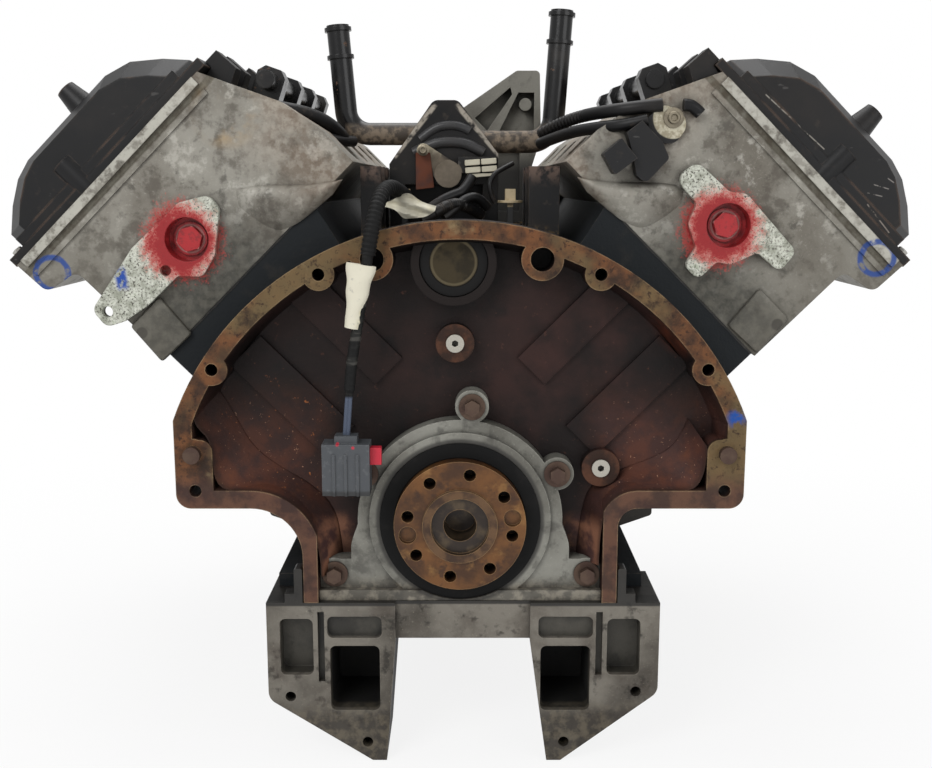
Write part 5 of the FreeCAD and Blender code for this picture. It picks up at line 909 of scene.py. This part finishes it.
lead_line = route_line(lead_points, 20)
lead_length = float(np.linalg.norm(np.diff(lead_line, axis=0), axis=1).sum())
tape = rubber("lead_tape", 0.009)
wraps = tape.noise(60.0, 3.0, 0.5, (0.4, 0.4, 2.4), 5.0)
tape.layer(wraps.ramp(0.50, 0.60) * 0.6, paint(44, 44, 42), 0.4)
# Painted sheen: the thin pale bands stand for the shine of the wraps; the wider grey bands above
# are the tape's own tone.
tape.layer(wraps.ramp(0.62, 0.66) * 0.5, paint(84, 82, 78), 0.35)
tape.layer(tape.z.ramp(0.112, 0.109), paint(78, 86, 102), 0.4)
lead = mesh_piece("lead_taped", swept(lead_line, lead_radius, 20, tape_shape), tape.done(0.0))
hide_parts("harness_lead")
print("lead", round(lead_length, 4), "m over", len(lead_line), "points")


# %% Conduit and tag on the lead
def rings(count, depth):
    """Radius factor of a corrugated tube: 1 - depth (1 - cos(2 pi count share)) / 2."""
    return lambda share, turn: 1.0 - depth * 0.5 * (1.0 - np.cos(2.0 * np.pi * count * share))


def tag_shape(share, turn):
    """Flattened sleeve: an ellipse, wide at its top and close round the lead at its foot,
    with two soft creases."""
    wide = 2.5 - 1.15 * np.clip(share * 1.25, 0.0, 1.0)
    thin = 1.12
    reach = 1.0 / np.sqrt((np.cos(turn) / wide) ** 2 + (np.sin(turn) / thin) ** 2)
    return reach * (1.0 + 0.05 * np.sin(share * 17.0 + turn * 2.0))


def paper_finish():
    """Bare white tag paper: yellowed creases and grey handling smudges, nothing printed."""
    f = Finish("tag_paper", paint(214, 209, 190), 0.6)
    f.layer(f.noise(60.0, 4.0).ramp(0.50, 0.66) * 0.6, paint(204, 196, 160), 0.6)
    f.layer(f.noise(150.0, 5.0, seed=3.0).ramp(0.60, 0.70) * 0.5, paint(150, 148, 140), 0.6)
    f.bump(f.noise(90.0, 3.0), 0.0006)
    return f.done(0.0)


paper = paper_finish()
conduit_line = evenly(lead_line[:nearest(lead_line, 0.222)], 150)
conduit = mesh_piece("lead_conduit", swept(conduit_line, 0.0064, 14, rings(42.0, 0.14)),
                     rubber("conduit_black", 0.008).done(0.0))
tag_part = lead_line[nearest(lead_line, 0.216):nearest(lead_line, 0.166) + 1]
tag_line = evenly(tag_part, 30) + np.array((-0.004, -0.001, 0.0))
tag = mesh_piece("lead_tag", swept(tag_line, 0.0047, 28, tag_shape), paper)
print("conduit over", len(conduit_line), "rings, tag over", len(tag_line))

# %% [markdown]
# ## Conduits and cables in the valley
# Two pairs of conduits come down from the heads and a bundle of cables lies behind the
# rim. A curve with a bevel would do for plain ones. Rings swept along a smooth route
# are used instead, because they can be corrugated over a part of their length.


# %% Conduits and cables
def tube(name, points, radius, finish, sides=14, steps=10, shape=None):
    """Tube along a smooth route through the air, in millimetres."""
    line = route_line(np.array(points) / 1000.0, steps)
    return mesh_piece(name, swept(line, radius / 1000.0, sides, shape), finish)


def ribbed_start(share, turn):
    """Corrugated over the first two fifths, then smooth: 1 - 0.16 rib fade."""
    rib = 0.5 * (1.0 - np.cos(2.0 * np.pi * 34.0 * share))
    return 1.0 - 0.16 * rib * np.clip((0.40 - share) / 0.04, 0.0, 1.0)


dusty_black = black_plastic("dusty_conduit", 18, 0.35, 0.4).done(0.0)
tube("conduit_right_upper", ((72, 118, 322), (84, 98, 329), (104, 70, 335), (124, 42, 337),
                             (144, 33, 339), (163, 33, 341)),
     5.4, dusty_black, 16, 40, ribbed_start)
tube("conduit_right_tip", ((180, 33, 341), (185, 33, 341), (190, 33, 338), (194, 33, 334)),
     5.0, dusty_black, 16)
for name, radius, points in (
        ("conduit_right_lower", 5.0, ((70, 112, 313), (90, 80, 321), (114, 48, 324),
                                      (134, 31, 325), (151, 29, 329))),
        ("conduit_left_upper", 6.0, ((-168, 60, 343), (-150, 74, 341), (-128, 94, 337),
                                     (-110, 112, 328), (-104, 128, 318))),
        ("conduit_left_lower", 5.0, ((-160, 44, 324), (-140, 66, 322), (-120, 92, 318),
                                     (-108, 118, 316), (-96, 136, 316)))):
    tube(name, points, radius, dusty_black)
tube("bundle_near", ((-32, 62, 248), (-22, 64, 254), (-12, 70, 260), (-2, 78, 262),
                     (8, 90, 258), (18, 104, 252)), 5.2, dusty_black, 14, 12, rings(26.0, 0.10))
for name, radius, points in (
        ("bundle_middle", 4.6, ((-36, 84, 250), (-20, 86, 262), (-8, 90, 268), (4, 94, 272),
                                (10, 104, 284))),
        ("bundle_far", 4.2, ((-14, 70, 250), (-6, 74, 256), (4, 84, 266), (16, 92, 268),
                             (24, 100, 258))),
        ("bundle_wire", 2.2, ((30, 96, 262), (24, 92, 274), (28, 96, 286), (38, 104, 292),
                              (46, 112, 296)))):
    tube(name, points, radius, dusty_black)

# %% [markdown]
# ## Screws, sockets and plates
# The sensors' screws are turned: a profile of radii and heights swings round an axis.
# The cream sockets and the rusty plate are outlines with rounded corners between two
# planes. Both ways keep every measure readable in the call that makes the piece.


# %% Pieces turned or cut from outlines
def screw(name, place, washer, head, height):
    """Flanged screw seen from behind, in millimetres: washer, domed head, sunk drive."""
    profile = ((washer, 0.0), (washer, -1.2), (head, -1.8), (head, -height + 0.8),
               (head - 0.8, -height), (head * 0.55, -height), (head * 0.45, -height + 2.0))
    grid = turned(np.array(profile) / 1000.0, np.array(place) / 1000.0)
    return mesh_piece(name, grid, washer_zinc)


def plate(name, corners, y0, y1, finish, radius=1.0, edge=0.4):
    """Flat plate cut to the corners (mm), with rounded corners and broken edges."""
    outline = rounded(np.array(corners) / 1000.0, radius / 1000.0)
    grid = slab(outline, y0 / 1000.0, y1 / 1000.0, edge / 1000.0)
    return mesh_piece(name, grid, finish, smooth=False)


washer_zinc = steel("washer_zinc", paint(132, 124, 108), paint(84, 76, 64), 0.45, 0.6).done()
screw("head_sensor_screw", (172.4, 33.0, 330.7), 8.2, 5.2, 4.6)
screw("valley_sensor_screw", (-33.0, 120.0, 308.0), 5.2, 3.8, 4.0)

cream = tinted_plastic("socket_cream", paint(200, 194, 174), 0.5)
for k, (x, z) in enumerate(((4.0, 294.0), (18.5, 295.0), (4.5, 287.5), (19.0, 288.5))):
    corners = ((x, z), (x + 13.5, z + 1.0), (x + 13.2, z + 6.0), (x - 0.3, z + 5.0))
    plate("sensor_socket_%d" % (k + 1), corners, 113.0, 121.0, cream)
plate("sensor_socket_foot", ((6, 283.5), (30, 285.5), (30, 288), (6, 287)), 115.0, 121.0,
      cream)
plate_rust = steel("plate_rust", paint(106, 66, 52), paint(70, 42, 36), 0.7, 0.8).done(0.0)
plate("rust_plate", ((-40, 306), (-27, 306), (-23.5, 275), (-40, 273)), 128.0, 132.0,
      plate_rust)

# Painted sheen: the ridges' black plastic is lifted to a pale grey tone to stand for their glossy
# tops.
ridge_painted_sheen = black_plastic("housing_ridge", 60, 0.3, 0.25).done(0.0)
tube("housing_ridge_top", ((-36, 136, 318), (-26, 135, 326), (-16, 134, 330), (0, 134, 330),
                           (8, 135, 325)), 4.2, ridge_painted_sheen, 16)
tube("housing_ridge_low", ((-42, 136, 306), (-26, 134, 314), (-10, 133, 316), (8, 133, 314),
                           (20, 135, 306)), 5.0, ridge_painted_sheen, 16)

# %% [markdown]
# ## Soft slopes of the castings
# A drafted casting flows from one level to another: the port bulge on each head and the
# gusset inside each ear of the bell. Sculpting them would hide their measures. Each is
# a patch between two smooth edge lines, whose height is a formula of the share along
# and the share down. The crumpled tag in the valley is the same patch with two waves.


# %% Sheets and slopes between two edges
def patch(name, top, foot, level, finish, back=None, steps=(32, 16)):
    """Closed patch between two edge lines (mm): level gives the y of its face; its hidden
    side lies at y = back, or one sheet's thickness behind the face."""
    edges = [evenly(route_line(np.c_[line, np.zeros(len(line))])[:, :2], steps[0])
             for line in (top, foot)]
    share, down = np.linspace(0.0, 1.0, steps[0]), np.linspace(0.0, 1.0, steps[1])
    flat = edges[0][:, None] * (1.0 - down[:, None]) + edges[1][:, None] * down[:, None]
    deep = level(share[:, None], down[None, :], flat)
    face = np.stack([flat[..., 0], deep, flat[..., 1]], axis=-1)
    hidden = face.copy()
    hidden[..., 1] = deep + sheet if back is None else back
    grid = np.concatenate([face, hidden[:, ::-1]], axis=1) / 1000.0
    return mesh_piece(name, grid, finish)


def crumple(share, down, flat):
    """Folds of the loose tag: two crossed waves about y = 58."""
    long_wave = 2.4 * np.sin(flat[..., 0] * 0.33 + 1.0)
    return 58.0 + long_wave + 1.6 * np.sin(flat[..., 1] * 0.7 + flat[..., 0] * 0.21)


def bulge(share, down, flat):
    """Port bulge: y = 38.1 - 9 sin(pi down ** 0.6) ** 0.8, fading at both ends."""
    ends = np.clip(np.minimum(share * 9.0, (1.0 - share) * 3.2), 0.0, 1.0) ** 0.7
    return 38.1 - 9.0 * np.clip(np.sin(np.pi * down ** 0.6), 0.0, 1.0) ** 0.8 * ends


def bulge_reversed(share, down, flat):
    """The same bulge, walked from its other end."""
    return bulge(1.0 - share, down, flat)


def gusset(share, down, flat):
    """Slope from the rim's level to the floor of the dish: y = 1.6 + 30.2 down ** 0.85,
    with a faint wave across it."""
    return 1.6 + 30.2 * down ** 0.85 + 0.5 * np.sin(flat[..., 0] * 0.09) * down * (1.0 - down)


sheet = 0.6
tag_top = ((-68, 262), (-60, 263), (-52, 268), (-43, 272), (-35, 265), (-28, 262), (-20, 260))
tag_foot = ((-67, 260), (-60, 259), (-53, 256), (-48, 249), (-38, 250), (-27, 251), (-21, 256))
patch("valley_tag", tag_top, tag_foot, crumple, paper, steps=(40, 12))

bulge_top = ((96, 284), (115, 280), (147, 280), (170, 279), (184, 276))
bulge_foot = ((104, 272), (118, 260), (136, 246), (156, 240), (182, 262))
left_top, left_foot = (tuple((-x, z - 2) for x, z in reversed(line))
                       for line in (bulge_top, bulge_foot))
patch("head_bulge_right", bulge_top, bulge_foot, bulge, bulge_casting[1], back=39.0)
patch("head_bulge_left", left_top, left_foot, bulge_reversed, bulge_casting[-1],
      back=39.0)

gusset_left_edge = ((-116, -46), (-116, -28), (-123.6, 0.5), (-144.5, 21.4), (-173, 29),
                    (-203, 29), (-203, 72), (-219, 84), (-219, 104))
gusset_left_foot = ((-99, -50), (-101, -28), (-106, 6), (-126, 27), (-150, 40), (-174, 58),
                    (-186, 80), (-194, 96), (-204, 112))
patch("bell_gusset_left", gusset_left_edge, gusset_left_foot, gusset, block_iron,
      back=31.9, steps=(40, 14))
pad_right = ((223, 162), (249, 193), (274, 168), (249, 138))
pad_left = tuple((-x - 1, z - 7) for x, z in reversed(pad_right))
for word, side, corners in (("right", 1, pad_right), ("left", -1, pad_left)):
    plate("head_pad_" + word, corners, 34.6, 38.6, bulge_casting[side], 3.0, 1.2)
gusset_right_edge = ((203, 66), (203, 29), (170, 29), (147, 29), (125, 20), (116, -2),
                     (116, -36))
gusset_right_foot = ((192, 84), (184, 62), (164, 50), (142, 42), (112, 30), (102, 2),
                     (99, -40))
patch("bell_gusset_right", gusset_right_edge, gusset_right_foot, gusset, block_iron,
      back=31.9, steps=(40, 14))

# %% [markdown]
# ## Bench and light
# A pale floor lies under the engine. The camera sees most of it as plain white, through
# the Light Path node, and the rest still takes the soft shadow. More light would whiten
# the floor too, but it would bleach the paint and the rust.


# %% Floor and lamps
def floor_piece():
    """Large flat sheet just under the sump's feet, whiter with distance."""
    half, height = 40.0, cad_low.z - 0.0005
    f = Finish("bench_floor", (0.96, 0.96, 0.96), 0.9)
    f.layer(f.noise(3.0, 2.0) * 0.02, (0.92, 0.92, 0.92))
    material, tree = f.done(0.0), f.tree
    path = tree.nodes.new("ShaderNodeLightPath")
    seen = Wire(tree, path.outputs["Is Camera Ray"]).either(
        Wire(tree, path.outputs["Is Glossy Ray"]))
    glow = node(tree, "ShaderNodeEmission", {}, {0: (1.0, 1.0, 1.0, 1.0), 1: 1.0})
    distance = (f.x * f.x + f.y * f.y).math("SQRT")
    share = 0.86 + distance.ramp(0.45, 1.30) * 0.14
    mix = node(tree, "ShaderNodeMixShader", {},
               {0: seen * share, 1: Wire(tree, f.shader.outputs[0]), 2: glow})
    tree.links.new(mix.socket, tree.nodes["Material Output"].inputs[0])
    mesh = bpy.data.meshes.new("bench_floor")
    mesh.from_pydata([(-half, -half, height), (half, -half, height), (half, half, height),
                      (-half, half, height)], [], [(0, 1, 2, 3)])
    mesh.materials.append(material)
    floor = bpy.data.objects.new("bench_floor", mesh)
    bpy.context.scene.collection.objects.link(floor)


def lamp(name, place, aim, size, power):
    """Square area lamp that looks at a point."""
    data = bpy.data.lights.new(name, "AREA")
    data.size = size
    data.energy = power
    light = bpy.data.objects.new(name, data)
    light.location = place
    light.rotation_euler = (Vector(aim) - Vector(place)).to_track_quat("-Z", "Y").to_euler()
    bpy.context.scene.collection.objects.link(light)


def studio_world():
    """White for the camera, light grey in reflections, darker grey as the light it gives."""
    world = bpy.data.worlds.new("studio")
    world.use_nodes = True
    tree = world.node_tree
    path = tree.nodes.new("ShaderNodeLightPath")
    seen = Wire(tree, path.outputs["Is Camera Ray"])
    mirrored = Wire(tree, path.outputs["Is Glossy Ray"])
    strength = (seen.either(mirrored * 0.60) * 0.68 + 0.32).math("MINIMUM", 1.0)
    background = tree.nodes["Background"]
    background.inputs[0].default_value = (1.0, 1.0, 1.0, 1.0)
    tree.links.new(strength.socket, background.inputs[1])
    bpy.context.scene.world = world


floor_piece()
studio_world()
lamp("key_lamp", (-1.1, -1.7, 1.5), (0.0, 0.1, 0.1), 1.2, 30.0)
lamp("fill_lamp", (1.5, -1.5, 0.7), (0.0, 0.1, 0.1), 1.4, 12.0)
lamp("top_lamp", (0.0, 0.6, 1.9), (0.0, 0.2, 0.1), 1.6, 26.0)
bpy.context.scene.view_settings.view_transform = "Standard"
print("lamps", [(data.name, data.energy) for data in bpy.data.lights])

# %% [markdown]
# ## Sizes
# Looks must not change the engine's size, so the box of the imported model from the
# start is written down.

# %% Sizes and finish
print("cad", [round(v, 4) for v in cad_low], [round(v, 4) for v in cad_high])
